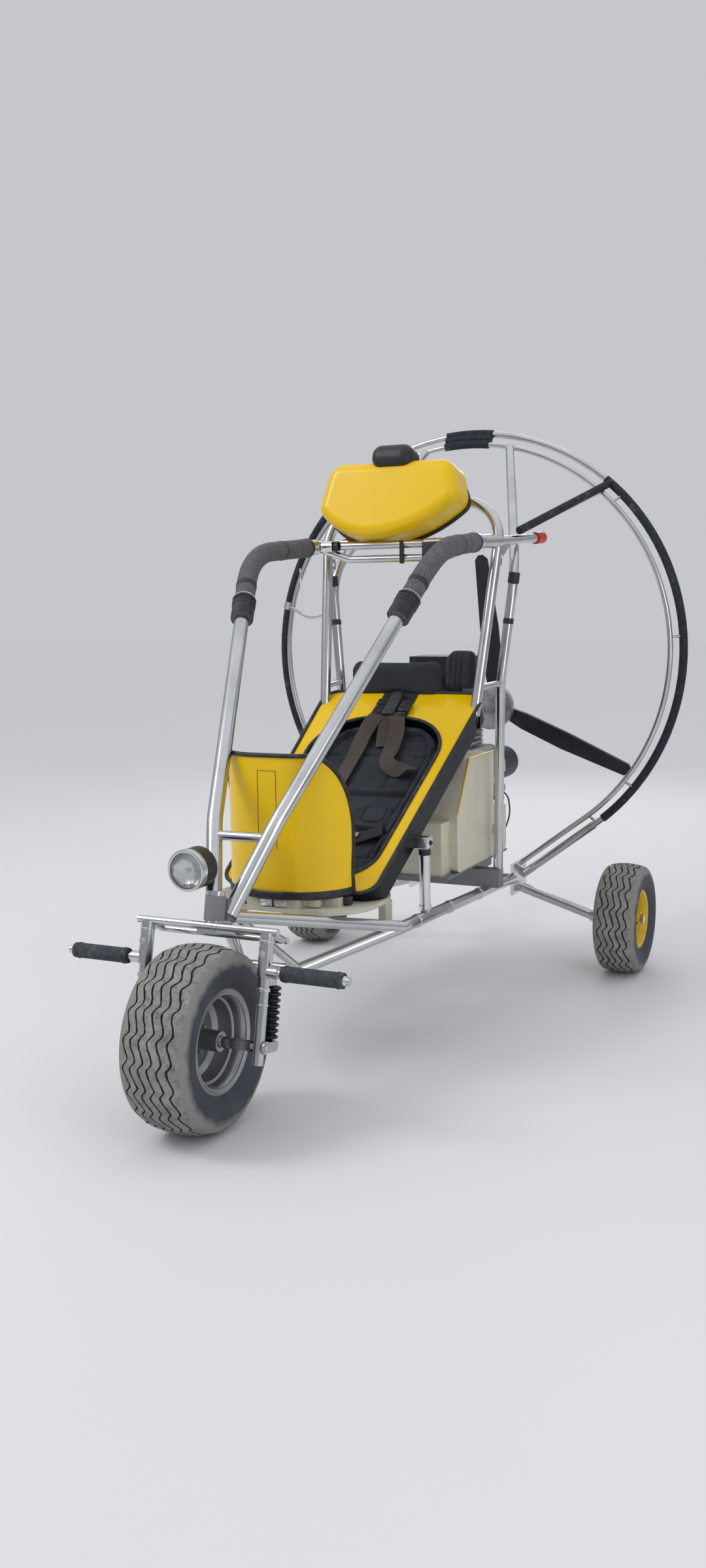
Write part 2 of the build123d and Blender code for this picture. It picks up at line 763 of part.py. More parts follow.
def front_frame_node():
    """Upper rails, head braces and their tie, which meet under the head."""
    frame = rod(nose, on_side(nose, -1), brace_radius)
    frame += rod(in_fork(rail_start_x, rail_start_back, rail_start_up),
                 in_fork(-rail_start_x, rail_start_back, rail_start_up), rail_radius - 1)
    for side in (-1, 1):
        frame += rod(in_fork(side * rail_start_x, rail_start_back, rail_start_up), on_side(waist, side),
                     rail_radius)
        frame += rod(in_fork(side * rail_start_x, rail_start_back + 4, rail_start_up + 2), on_side(nose, side),
                     brace_radius)
    keep("front_frame", trimmed(frame, "steering_head", "hoops", "lower_rails"))


# Seat
def seat_plane(along=0.0, deep=0.0):
    """Plane on the seat's rim, x across and y up the slope, sunk by a depth."""
    lean = radians(seat_lean)
    origin = (0, seat_front_y + along * cos(lean) + deep * sin(lean),
              seat_front_z + along * sin(lean) - deep * cos(lean))
    return Plane(origin=origin, x_dir=(1, 0, 0), z_dir=(0, -sin(lean), cos(lean)))


def seat_half_at(along):
    """Half width of the seat at a place up its slope."""
    return seat_half_bottom + (seat_half_top - seat_half_bottom) * along / seat_length


def seat_outline(side_in, front_in, back_in, corner, top_corner):
    """Outline on the rim, moved in from the seat's sides, front and back."""
    low, high = front_in, seat_length - back_in
    half_low, half_high = seat_half_at(low) - side_in, seat_half_at(high) - side_in
    outline = Polygon((-half_low, low), (half_low, low), (half_high, high), (-half_high, high), align=None)
    outline = fillet(outline.vertices().sort_by(Axis.Y)[:2], corner)
    return fillet(outline.vertices().sort_by(Axis.Y)[-2:], top_corner)


def seat_solid(outline, top, bottom, floor):
    """Slab on the seat's slope between two depths, cut level at a floor."""
    slab = extrude(seat_plane(0, top) * outline, amount=top - bottom)
    return slab & box((-600, 600), (0, 2000), (floor, 2000))


def seat_nodes():
    wall_in = (well_side - seat_wall, well_front - seat_wall, well_back - seat_wall)
    pad_in = (well_side + pad_gap, well_front + pad_gap, well_back + pad_gap)
    slab = seat_solid(seat_outline(0, 0, 0, seat_corner, seat_corner), 0, seat_rim_thick, seat_floor_z)
    tub = seat_solid(seat_outline(*wall_in, well_corner + seat_wall, well_top_corner + seat_wall), 0, seat_depth,
                     seat_floor_z)
    well = seat_solid(seat_outline(well_side, well_front, well_back, well_corner, well_top_corner), -1,
                      seat_depth - seat_wall, seat_floor_z + seat_wall)
    inner_corner = seat_corner - seat_wall
    hollow = seat_solid(seat_outline(seat_wall, seat_wall, seat_wall, inner_corner, inner_corner), seat_wall,
                        seat_rim_thick + 1, seat_floor_z - 1)
    shell = slab + tub - (hollow - tub) - well
    for side in (-1, 1):
        foot = on_side(roll_bar_foot, side)
        shell -= rod(foot, on_side(roll_bar_top, side), roll_bar_radius + seat_gap)
        shell -= Pos(side * (seat_half_top + 4), foot[1], foot[2]) * Box(notch_size, notch_size, 240)
    keep("seat_shell", trimmed(shell, "roll_bar"))
    cushion = seat_solid(seat_outline(*pad_in, well_corner - pad_gap, well_top_corner - pad_gap), cushion_face,
                         cushion_base, seat_floor_z + seat_wall + seat_gap)
    keep("seat_cushion", cushion)

    supports = [tray_solid()]
    for side in (-1, 1):
        x, y, z = on_side(lower_rail_point(post_y), side)
        lean = radians(seat_lean)
        rim_side = side * seat_half_at((post_y - seat_front_y) / cos(lean))
        under = seat_front_z + (post_y - seat_front_y) * tan(lean) - seat_rim_thick / cos(lean)
        post = box((x - post_size / 2, x + post_size / 2), (y - post_size / 2, y + post_size / 2), (z, under))
        post += box((rim_side - side * post_head_inset, x + side * post_size * 0.8),
                    (y - post_head_length / 2, y + post_head_length / 2),
                    (under - post_head_height / 2, under + post_head_height / 2))
        supports.append(trimmed(post - slab, "lower_rails"))
    keep("seat_supports", *supports)


def tray_solid():
    """Tray under the seat and cowl, on two feet, with spacer blocks for the cowl."""
    outline = fillet(Rectangle(2 * tray_half, tray_back_y - tray_front_y).vertices(), tray_corner)
    tray = Pos(0, (tray_front_y + tray_back_y) / 2, tray_z) * extrude(outline, amount=tray_thick)
    for side in (-1, 1):
        x = side * (tray_half - tray_foot_half - 2)
        tray += box((x - tray_foot_half, x + tray_foot_half), (waist[1] - 18, waist[1] + 22),
                    (waist[2] - 6, tray_z + 1))
        tray += box((x, side * waist[0]), (waist[1] - 12, waist[1] + 16), (waist[2] - 6, waist[2] + 6))
        for block_x, y in block_places:
            tray += box((side * block_x - block_half, side * block_x + block_half), (y - 11, y + 11),
                        (tray_top - 1, cowl_bottom - seat_gap))
    return trimmed(tray, "lower_rails", "front_frame")


def belt_node():
    """Shoulder straps from the belt block down over the cushion, and the lap belt with its buckle."""
    block_front = belt_block_at - belt_block_size[1] / 2
    low = -cushion_face + seat_gap
    line = ((0, 1), (-10, 1), (-10 - strap_drop, low), (-strap_length, low))
    outline = Polygon(*line, *[(along, up + belt_thick) for along, up in reversed(line)], align=None)
    straps = []
    for side in (-1, 1):
        strap = extrude(Plane.YZ * outline, amount=belt_width / 2, both=True)
        place = seat_plane(block_front - seat_gap - belt_width / 2 * sin(radians(strap_turn)))
        straps.append(place * Pos(side * strap_x, 0, 0) * Rot(0, 0, side * strap_turn) * strap)
    lap_plane = seat_plane(lap_belt_at, cushion_face - seat_gap)
    lap = lap_plane * Pos(0, 0, belt_thick / 2) * Box(lap_belt_length, belt_width, belt_thick)
    lap += lap_plane * Pos(0, 0, buckle_size[2] / 2) * Box(*buckle_size)
    block = seat_plane(belt_block_at) * Pos(0, 0, seat_gap + belt_block_size[2] / 2) * Box(*belt_block_size)
    keep("seat_belts", *straps, lap, block)
    pad = box(back_pad_x, back_pad_y, back_pad_z)
    keep("back_pad", trimmed(pad, "seat_shell"))


def cowl_node():
    """Open shell between the pilot's legs, U-shaped from above, with a foot flange."""
    length = cowl_back_y - cowl_front_y + cowl_corner
    outer = fillet(Rectangle(2 * cowl_half, 2 * length).vertices(), cowl_corner)
    inner = offset(outer, -cowl_wall, kind=Kind.ARC)
    flange = offset(outer, -cowl_flange, kind=Kind.ARC)
    place = Pos(0, cowl_front_y + length, cowl_bottom)
    shell = place * extrude(outer - inner, amount=cowl_top_z - cowl_bottom)
    shell += place * extrude(outer - flange, amount=cowl_wall)
    shell -= box((-400, 400), (cowl_back_y, cowl_front_y + 2 * length + 1), (0, 2000))
    edge = [(cowl_front_y + back, cowl_bottom + up) for back, up in cowl_edge]
    far = cowl_back_y + 60
    with BuildSketch(Plane.YZ) as side_cut:
        with BuildLine():
            ThreePointArc(edge[0], edge[1], edge[2])
            Polyline(*edge[2:], (far, edge[-1][1]), (far, edge[0][1]), edge[0])
        make_face()
    shell -= extrude(side_cut.sketch, amount=400, both=True)
    keep("nose_cowl", largest(shell))


def tank_node():
    """Fuel tank behind the seat, with a slope in front, a narrower nose below it and a low tail."""
    bottom = deck_top + seat_gap
    side_view = Polygon((tank_front_y, bottom), (tank_front_y, tank_knee_z), (tank_crest_y, tank_top_z),
                        (tank_back_y, tank_top_z), (tank_back_y, tank_tail_z), (tank_tail_y, tank_tail_z),
                        (tank_tail_y, bottom), align=None)
    solid = extrude(Plane.YZ * side_view, amount=tank_half, both=True)
    solid = fillet(solid.edges().filter_by(Axis.X), tank_corner)
    solid += box((-tank_nose_half, tank_nose_half), (tank_nose_y, tank_front_y + 2 * tank_corner),
                 (bottom, tank_knee_z - tank_corner))
    keep("fuel_tank", solid)


# Engine
def engine_nodes():
    """Air-cooled single-cylinder engine with its reduction plate and propeller shaft."""
    case = box((-case_half, case_half), (engine_y - case_front, case_back_y), (case_bottom, case_top))
    case = fillet(case.edges().filter_by(Axis.Y), case_corner)
    block = case + rod((0, engine_y - cylinder_front, case_top - 2),
                       (0, engine_y - cylinder_front, cover_bottom - seat_gap), cylinder_radius)
    for level in range(fin_count):
        block += Pos(0, engine_y - cylinder_front, case_top + (level + 1) * fin_pitch) * Box(*fin_size, fin_thick)
    plate_back = case_back_y + drive_plate_thick
    block += box((-drive_plate_half, drive_plate_half), (case_back_y - 1, plate_back), (engine_z - 30, hub_z + 30))
    carrier_end = pulley_front_y - 5
    block += rod((0, plate_back - 1, hub_z), (0, carrier_end, hub_z), carrier_radius)
    block += rod((0, carrier_end - 1, hub_z), (0, hub_y + blade_hub_thick / 2 + 8, hub_z), shaft_radius)
    keep("engine_block", block)

    cover = box((-duct_half, duct_half), (engine_y - duct_front, engine_y + duct_back),
                (cover_bottom, cover_bottom + duct_height))
    airbox_bottom = cover_bottom + duct_height - airbox_overlap
    cover += box(airbox_x, (engine_y - airbox_front, engine_y - airbox_back),
                 (airbox_bottom, airbox_bottom + airbox_height))
    keep("engine_cover", cover)

    pipe_end = case_back_y + 15
    muffler = rod((exhaust_x, case_back_y - 1, exhaust_z), (exhaust_x, pipe_end, exhaust_z), exhaust_pipe_radius)
    muffler += rod((exhaust_x, pipe_end - 1, exhaust_z), (exhaust_x, pipe_end + exhaust_length, exhaust_z),
                   exhaust_radius)
    keep("exhaust", trimmed(muffler, "engine_block"))

    carb_back = case_back_y + 1 + carb_length
    carb = box((carb_x - carb_half, carb_x + carb_half), (case_back_y + 1, carb_back),
               (carb_z - carb_half, carb_z + carb_half))
    carb += rod((carb_x, carb_back - 1, carb_z), (carb_x, carb_back + filter_length, carb_z), filter_radius)
    carb += box((carb_x - 15, carb_x + 15), (case_back_y - 25, case_back_y + 5), (carb_z, case_bottom + 6))
    keep("carburettor", trimmed(carb, "engine_block", "exhaust"))

    start = (carb_x + carb_half, case_back_y + cable_route[0][1], carb_z)
    end = (engine_rail_x, tail[1] + engine_rail_size / 2, beam_bottom + engine_rail_size / 2)
    route = [start] + [(carb_x + x, case_back_y + y, carb_z + z) for x, y, z in cable_route] + [end]
    cable = bent(route, cord_bends(route), cable_radius)
    keep("throttle_cable", trimmed(cable, "carburettor", "engine_frame"))


def propeller_nodes():
    """Blades on a hub with a belt pulley in front of it."""
    half = blade_hub_thick / 2
    hub = rod((0, hub_y - half, hub_z), (0, hub_y + half, hub_z), hub_radius)
    hub += rod((0, hub_y + half - 1, hub_z), (0, hub_y + half + hub_nose, hub_z), hub_nose_radius)
    hub += rod((0, pulley_front_y + pulley_thick - 1, hub_z), (0, hub_y - half + 1, hub_z), boss_radius)
    hub += rod((0, pulley_front_y, hub_z), (0, pulley_front_y + pulley_thick, hub_z), pulley_radius)
    hub -= rod((0, pulley_front_y - 5, hub_z), (0, hub_y + half + 10, hub_z), shaft_radius + running_gap)
    keep("propeller_hub", hub)

    forward = [(blade_radius * share, lead) for share, lead, trail in blade_sections]
    backward = [(blade_radius * share, -trail) for share, lead, trail in reversed(blade_sections)]
    outline = Polygon(*forward, *backward, align=None)
    blades = []
    for index in range(blade_count):
        blade = extrude(outline, amount=blade_thick / 2, both=True)
        turn = Rot(0, -blade_lead - index * 360 / blade_count, 0)
        blade = Pos(0, hub_y, hub_z) * turn * Rot(90, 0, 0) * Rot(blade_pitch, 0, 0) * blade
        blades.append(trimmed(blade, "propeller_hub"))
    keep("propeller_blades", *blades)


# Top container and headlamp
def container_nodes():
    """Glossy container on the crossbar, with a flat top, a round bottom and a round cap."""
    half, high = container_width / 2, container_height
    lean = radians(container_lean)
    rest_z = crossbar_at[2] + crossbar_radius / cos(lean) + seat_gap
    base_z = rest_z + (crossbar_at[1] - container_y) * tan(lean)
    top_half, foot = half * container_top_share, (container_foot_x, 0)
    left_hip, right_hip = (half, high * container_left_hip), (-half, high * container_right_hip)
    with BuildSketch(Plane.XY) as front_view:
        with BuildLine():
            Polyline(left_hip, (top_half, high), (-top_half, high), right_hip)
            TangentArc(foot, left_hip, tangent=(1, 0))
            TangentArc(foot, right_hip, tangent=(-1, 0))
        make_face()
    outline = fillet(front_view.sketch.vertices().sort_by(Axis.Y)[-2:], container_corner)
    outline = fillet(outline.vertices().sort_by(Axis.X)[0], container_hip_corner)
    outline = fillet(outline.vertices().sort_by(Axis.X)[-1], container_hip_corner)
    place = Plane(origin=(container_x, container_y, base_z), x_dir=(1, 0, 0), z_dir=(0, -cos(lean), sin(lean)))
    body = extrude(place * outline, amount=-container_depth)
    body = fillet(body.faces().sort_by(Axis.Y)[0].edges(), container_edge)
    keep("top_container", body)
    cap = place * Pos(cap_x, high + cap_lift, cap_forward - container_depth / 2) * Box(*cap_size)
    keep("container_cap", trimmed(fillet(cap.edges(), cap_edge), "top_container"))


def lamp_nodes():
    rear_y = lamp_y + lamp_depth
    body = rod((lamp_x, lamp_y, lamp_z), (lamp_x, rear_y, lamp_z), lamp_radius)
    body += rod((lamp_x, rear_y - 1, lamp_z), (lamp_x, rear_y + 8, lamp_z), lamp_neck_radius)
    body += rod((lamp_x, rear_y, lamp_z), on_side(at_height(hoop_foot, hoop_shin, lamp_z), -1), 9)
    body -= rod((lamp_x, lamp_y - 1, lamp_z), (lamp_x, lamp_y + lens_depth, lamp_z), lamp_radius - lamp_wall)
    keep("headlamp_body", trimmed(body, "hoops", "steering_head"))
    keep("headlamp_lens", rod((lamp_x, lamp_y + lens_inset, lamp_z), (lamp_x, lamp_y + lens_depth, lamp_z),
                              lamp_radius - lamp_wall - seat_gap))


def rear_axle_node():
    """Axle tubes from the junction plates, with rubber sleeves and stubs that carry the wheels."""
    axles = []
    sleeve_end = rear_track_half - rear_tyre_width / 2 - moving_gap
    hub_in = rear_track_half - rear_hub_half - end_gap
    hub_out = rear_track_half + rear_hub_half + end_gap
    for side in (-1, 1):
        def at_x(x):
            return (side * x, wheelbase, rear_axle_z)
        inner = (side * (tail[0] + plate_thick / 2 - 1), tail[1] + axle_plate_back, tail[2] - axle_plate_drop)
        axle = rod(inner, at_x(knuckle_x), axle_tube_radius) + Pos(*at_x(knuckle_x)) * Sphere(axle_tube_radius)
        axle += rod(at_x(knuckle_x), at_x(sleeve_end), axle_sleeve_radius)
        axle += rod(at_x(sleeve_end - 1), at_x(hub_in), stub_collar_radius)
        axle += rod(at_x(knuckle_x), at_x(hub_out + stub_nut), stub_radius)
        axle += rod(at_x(hub_out), at_x(hub_out + stub_nut), stub_collar_radius)
        axles.append(trimmed(axle, "junction_plates"))
    keep("rear_axles", *axles)


wheel_nodes()
fork_nodes()
ring_nodes()
rail_nodes()
mast_nodes()
head_node()
roll_bar_nodes()
hoop_nodes()
front_frame_node()
seat_nodes()
belt_node()
cowl_node()
tank_node()
engine_nodes()
propeller_nodes()
container_nodes()
lamp_nodes()
rear_axle_node()

os.makedirs("parts", exist_ok=True)
for name, solids in pieces.items():
    moved = [solid.moved(Location((0, -y_middle, 0))) for solid in solids]
    export_step(Compound(children=moved) if len(moved) > 1 else moved[0], "parts/" + name + ".step")
print(len(pieces), "nodes, middle of the length", round(y_middle, 3))
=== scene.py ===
from math import atan2, cos, exp, hypot, pi, radians, sin, sqrt, tan

import bmesh
import bpy
from mathutils import Matrix, Vector, noise


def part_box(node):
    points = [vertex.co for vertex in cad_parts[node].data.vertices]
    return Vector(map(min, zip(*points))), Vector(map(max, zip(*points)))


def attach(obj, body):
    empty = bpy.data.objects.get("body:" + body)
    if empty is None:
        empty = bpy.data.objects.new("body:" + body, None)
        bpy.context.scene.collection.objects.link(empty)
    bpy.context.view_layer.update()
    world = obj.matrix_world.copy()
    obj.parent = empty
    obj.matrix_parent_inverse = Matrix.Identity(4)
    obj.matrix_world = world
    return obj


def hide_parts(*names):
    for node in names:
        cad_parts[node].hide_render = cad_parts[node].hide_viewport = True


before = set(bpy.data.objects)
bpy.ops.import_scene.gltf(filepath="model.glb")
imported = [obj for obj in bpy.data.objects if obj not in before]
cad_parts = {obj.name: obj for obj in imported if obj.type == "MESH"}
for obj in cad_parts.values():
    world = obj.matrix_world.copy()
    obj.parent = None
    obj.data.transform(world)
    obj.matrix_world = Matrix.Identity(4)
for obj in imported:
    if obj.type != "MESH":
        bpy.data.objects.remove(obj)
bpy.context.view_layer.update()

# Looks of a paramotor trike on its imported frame. Metres, +Z up, the front points to -Y, +X is its left.
# Places are given from the front axle's place on the floor, as in the part's source.
MM = 0.001
AXLE_Y = sum(corner[1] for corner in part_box("front_tyre")) / 2

# Camera: place from the front axle, heading, fall and roll in radians, focal length in picture heights
CAMERA_AT = (1.5316, -2.3997, 1.1318)
CAMERA_HEADING = 0.4477
CAMERA_FALL = 0.1345
CAMERA_ROLL = -0.01537
CAMERA_FOCAL = 0.8678

# Wheels: tyre radius and width, rim flange and width, in millimetres
FRONT_WHEEL = dict(radius=203, width=165, flange=114, rim_width=132, grooves=6, waves=21)
REAR_WHEEL = dict(radius=165, width=127, flange=88, rim_width=100, grooves=5, waves=17)
FRONT_RIM = dict(flange=114, bead=101, half=66, web=-12, hub_radius=24, hub_half=58)
REAR_RIM = dict(flange=88, bead=76, half=50, web=10, hub_radius=22, hub_half=48)
REAR_X = 523
WHEELBASE = 1590
GROOVE_WIDTH = 4.5
GROOVE_DEPTH = 5.0
WAVE_SWING = 6.0
WAVE_STEPS = 12

# Seat, as in the part's source; the well's margins and the cushion's face below the rim plane
SEAT_LEAN = radians(32.3)
SEAT_FRONT = (455, 442)
SEAT_LENGTH = 800
SEAT_HALF_BOTTOM = 206
SEAT_HALF_TOP = 242
WELL = dict(side=38, front=52, back=118)
CUSHION_FACE = -41.7

# Nose cowl, as in the part's source
COWL_FRONT_Y = 338
COWL_BACK_Y = 453
COWL_HALF = 160
COWL_CORNER = 125
COWL_BOTTOM = 441
COWL_TOP = 778
COWL_EDGE = ((26, 337), (84, 262), (116, 112), (110, 50), (118, 0))

# Fork, as in the part's source
FORK_RAKE = radians(12.0)
LEG_X = 150
SPRING_RADIUS = 17.5
SPRING_LENGTH = 116
SPRING_FOLDS = 9

# Propeller ring, as in the part's source
RING_Z = 965
RING_Y = 1670
RING_RADIUS = 669
STRUT_ANGLE = 41.5
STRUT_FOOT = (281, 1272, 1310)
CLAMP_ANGLE = -77
ROD_FOOT = (-272, 1254, 1100)

# Tubes that carry details, as in the part's source
HOOP_CORNERS = ((80, 225, 640), (265, 745, 1255), (245, 1081, 1281))
MAST_CORNERS = ((226, 1284, 420), (250, 1238, 893), (284, 1262, 1208))
RAIL_WAIST = (250, 535, 350)
RAIL_TAIL = (172, 1570, 262)
POST_AT = (237.2, 705)
GUSSET_CORNERS = ((262, 1212, 1240), (262, 1212, 1296), (278, 1268, 1296))

# Top container, as in the part's source
CONTAINER = dict(x=-20, y=1040, z=1302.6, width=420, height=212, depth=104, lean=13,
                 left_hip=0.50, right_hip=0.38, top_share=0.86, foot_x=-50)

# Bands on the hoops: share of the way, radius, length, material, and softened edge where one is given
SHIN_BANDS = ((0.757, 28.9, 54, 1, 3), (0.776, 30.4, 7, 1, 2.5), (0.789, 30.4, 7, 1, 2.5),
              (0.802, 30.4, 7, 1, 2.5), (0.812, 27.4, 3, 0, 1.2), (0.862, 26.7, 14, 1, 1.2))
KNEE_BANDS = ((0.44, 26.6, 6, 1), (0.84, 26.8, 12, 1), (0.925, 21.6, 40, 0))

# Sewn lines of the cushion: along, from x, to x, bend, depth, width
CUSHION_SEAMS = ((152, 0, 170, 10, 4.5, 6), (222, 0, 165, 14, 8, 6), (396, 0, 150, 6, 11, 8),
                 (412, 0, 150, 6, -3, 9), (556, 0, 60, 0, 6, 6), (560, 112, 160, -4, 7, 6),
                 (628, 70, 150, -10, 3.5, 6))

# Belts as points across, along and above the seat's rim plane, and each brown one's twist
BROWN_BELTS = (
    (0.5, ((-20, 690, 12), (-40, 664, 9), (-56, 624, -8), (-60, 560, -20), (-60, 470, -22),
           (-62, 412, -25), (-66, 370, -29))),
    (0.2, ((4, 694, 12), (2, 668, 6), (0, 640, -10), (4, 606, -24), (8, 590, -28))),
    (1.25, ((22, 690, 13), (30, 662, 8), (38, 624, -8), (40, 566, -20), (46, 520, -16),
            (66, 494, -17), (96, 484, -20), (136, 478, -12))),
)
LAP_BELT = ((-150, 232, -12), (-118, 226, -22), (-60, 214, -26), (-20, 208, -25), (40, 208, -25),
            (90, 222, -22), (140, 240, -12))
BROWN_BELT_WIDTH = 0.046
LAP_BELT_WIDTH = 0.042

# Buckle, belt block and its folds: place on the seat, size, bevel, material
BELT_BOXES = (
    ((4, 208, -18), (58, 46, 14), 5, 2), ((4, 208, -10), (26, 24, 5), 2, 3),
    ((66, 222, -18), (26, 16, 4), 1.5, 3), ((-4, 731, 2.2), (104, 128, 3.4), 1.2, 1),
    ((-2, 722, 14), (38, 92, 16), 4, 2), ((-2, 758, 20), (30, 34, 8), 3, 2),
    ((37, 716, 13), (32, 48, 18), 6, 2), ((37, 716, 21), (20, 30, 8), 3, 1),
    ((30, 686, 9), (36, 22, 8), 3, 1),
)

# The folded bag beside the pad
BAG_AT = (166, 1146, 935)

# Lamps as name, place, target, size and power
LAMPS = (("key", (-2.6, -2.4, 3.6), (0, 0, 0.7), 1.4, 62), ("fill", (3.6, -2.0, 1.6), (0, 0, 0.7), 2.0, 22),
         ("back", (-0.9, 4.4, 2.6), (0, 0.2, 0.7), 1.4, 24))
SKY_STRENGTH = 0.74
BACKDROP = (0.56, 0.57, 0.60)
FLOOR_REACH = 30.0

# Sides of the headlamp's ribbed glass
GLASS_SIDES = 72

# Directions of a box that stands straight
SQUARE = ((1, 0, 0), (0, 1, 0), (0, 0, 1))

YELLOW = (0.88, 0.56, 0.003)


# Camera, floor and light
def place(x, y, z):
    """Point in the part's frame, in metres, from millimetres in its source's layout."""
    return Vector((x * MM, y * MM + AXLE_Y, z * MM))


def add_object(name, data):
    made = bpy.data.objects.new(name, data)
    bpy.context.scene.collection.objects.link(made)
    return made


def add_node(tree, kind, inputs, operation=None, data_type=None):
    """Node whose inputs get plain values, or links where they are given another node's output."""
    node = tree.nodes.new("ShaderNode" + kind)
    if operation:
        node.operation = operation
    if data_type:
        node.data_type = data_type
    for name, value in inputs.items():
        if isinstance(value, bpy.types.NodeSocket):
            tree.links.new(value, node.inputs[name])
        else:
            node.inputs[name].default_value = value
    return node


def make_camera():
    right = Vector((cos(CAMERA_HEADING), sin(CAMERA_HEADING), 0))
    level = Vector((-sin(CAMERA_HEADING), cos(CAMERA_HEADING), 0))
    up_world = Vector((0, 0, 1))
    forward = level * cos(CAMERA_FALL) - up_world * sin(CAMERA_FALL)
    up = up_world * cos(CAMERA_FALL) + level * sin(CAMERA_FALL)
    rolled = right * cos(CAMERA_ROLL) + up * sin(CAMERA_ROLL)
    up = up * cos(CAMERA_ROLL) - right * sin(CAMERA_ROLL)
    data = bpy.data.cameras.new("camera")
    data.sensor_fit = "VERTICAL"
    data.sensor_height = 36.0
    data.lens = CAMERA_FOCAL * data.sensor_height
    camera = add_object("camera", data)
    camera.matrix_world = Matrix((rolled, up, -forward)).transposed().to_4x4()
    camera.location = (CAMERA_AT[0], CAMERA_AT[1] + AXLE_Y, CAMERA_AT[2])
    bpy.context.scene.camera = camera


def area_light(name, at, target, size, power):
    data = bpy.data.lights.new(name, "AREA")
    data.size = size
    data.energy = power
    light = add_object(name, data)
    light.location = at
    light.rotation_euler = (Vector(target) - Vector(at)).to_track_quat("-Z", "Y").to_euler()


def make_surroundings():
    """Floor, sky, backdrop and lamps."""
    reach = FLOOR_REACH
    mesh = bpy.data.meshes.new("floor")
    mesh.from_pydata([(-reach, -reach, 0), (reach, -reach, 0), (reach, reach, 0), (-reach, reach, 0)], [],
                     [(0, 1, 2, 3)])
    floor = add_object("floor", mesh)
    look = Look("floor_paint", (0.74, 0.74, 0.74), 0.9)
    look.tint((0.72, 0.72, 0.725), look.noise(1.5, 3))
    mesh.materials.append(look.material)

    world = bpy.data.worlds.new("studio")
    world.use_nodes = True
    bpy.context.scene.world = world
    tree = world.node_tree
    tree.nodes.clear()
    path = add_node(tree, "LightPath", {}).outputs
    seen = add_node(tree, "Math", {0: path["Is Camera Ray"], 1: path["Is Transmission Ray"]}, "MAXIMUM")
    sphere = add_node(tree, "TexCoord", {}).outputs["Generated"]
    height = add_node(tree, "SeparateXYZ", {0: sphere}).outputs["Z"]
    spread = add_node(tree, "MapRange", {"From Min": 0.02, "From Max": 0.75, "Value": height})
    sky = add_node(tree, "Mix", {"Factor": spread.outputs["Result"], 6: (0.36, 0.38, 0.42, 1),
                                 7: (1.15, 1.18, 1.24, 1)}, data_type="RGBA")
    soft = add_node(tree, "Background", {"Strength": SKY_STRENGTH, "Color": sky.outputs[2]})
    pale = add_node(tree, "Background", {"Strength": 1.0, "Color": (*BACKDROP, 1)})
    blend = add_node(tree, "MixShader", {0: seen.outputs[0], 1: soft.outputs[0], 2: pale.outputs[0]})
    add_node(tree, "OutputWorld", {"Surface": blend.outputs[0]})
    for lamp in LAMPS:
        area_light(*lamp)


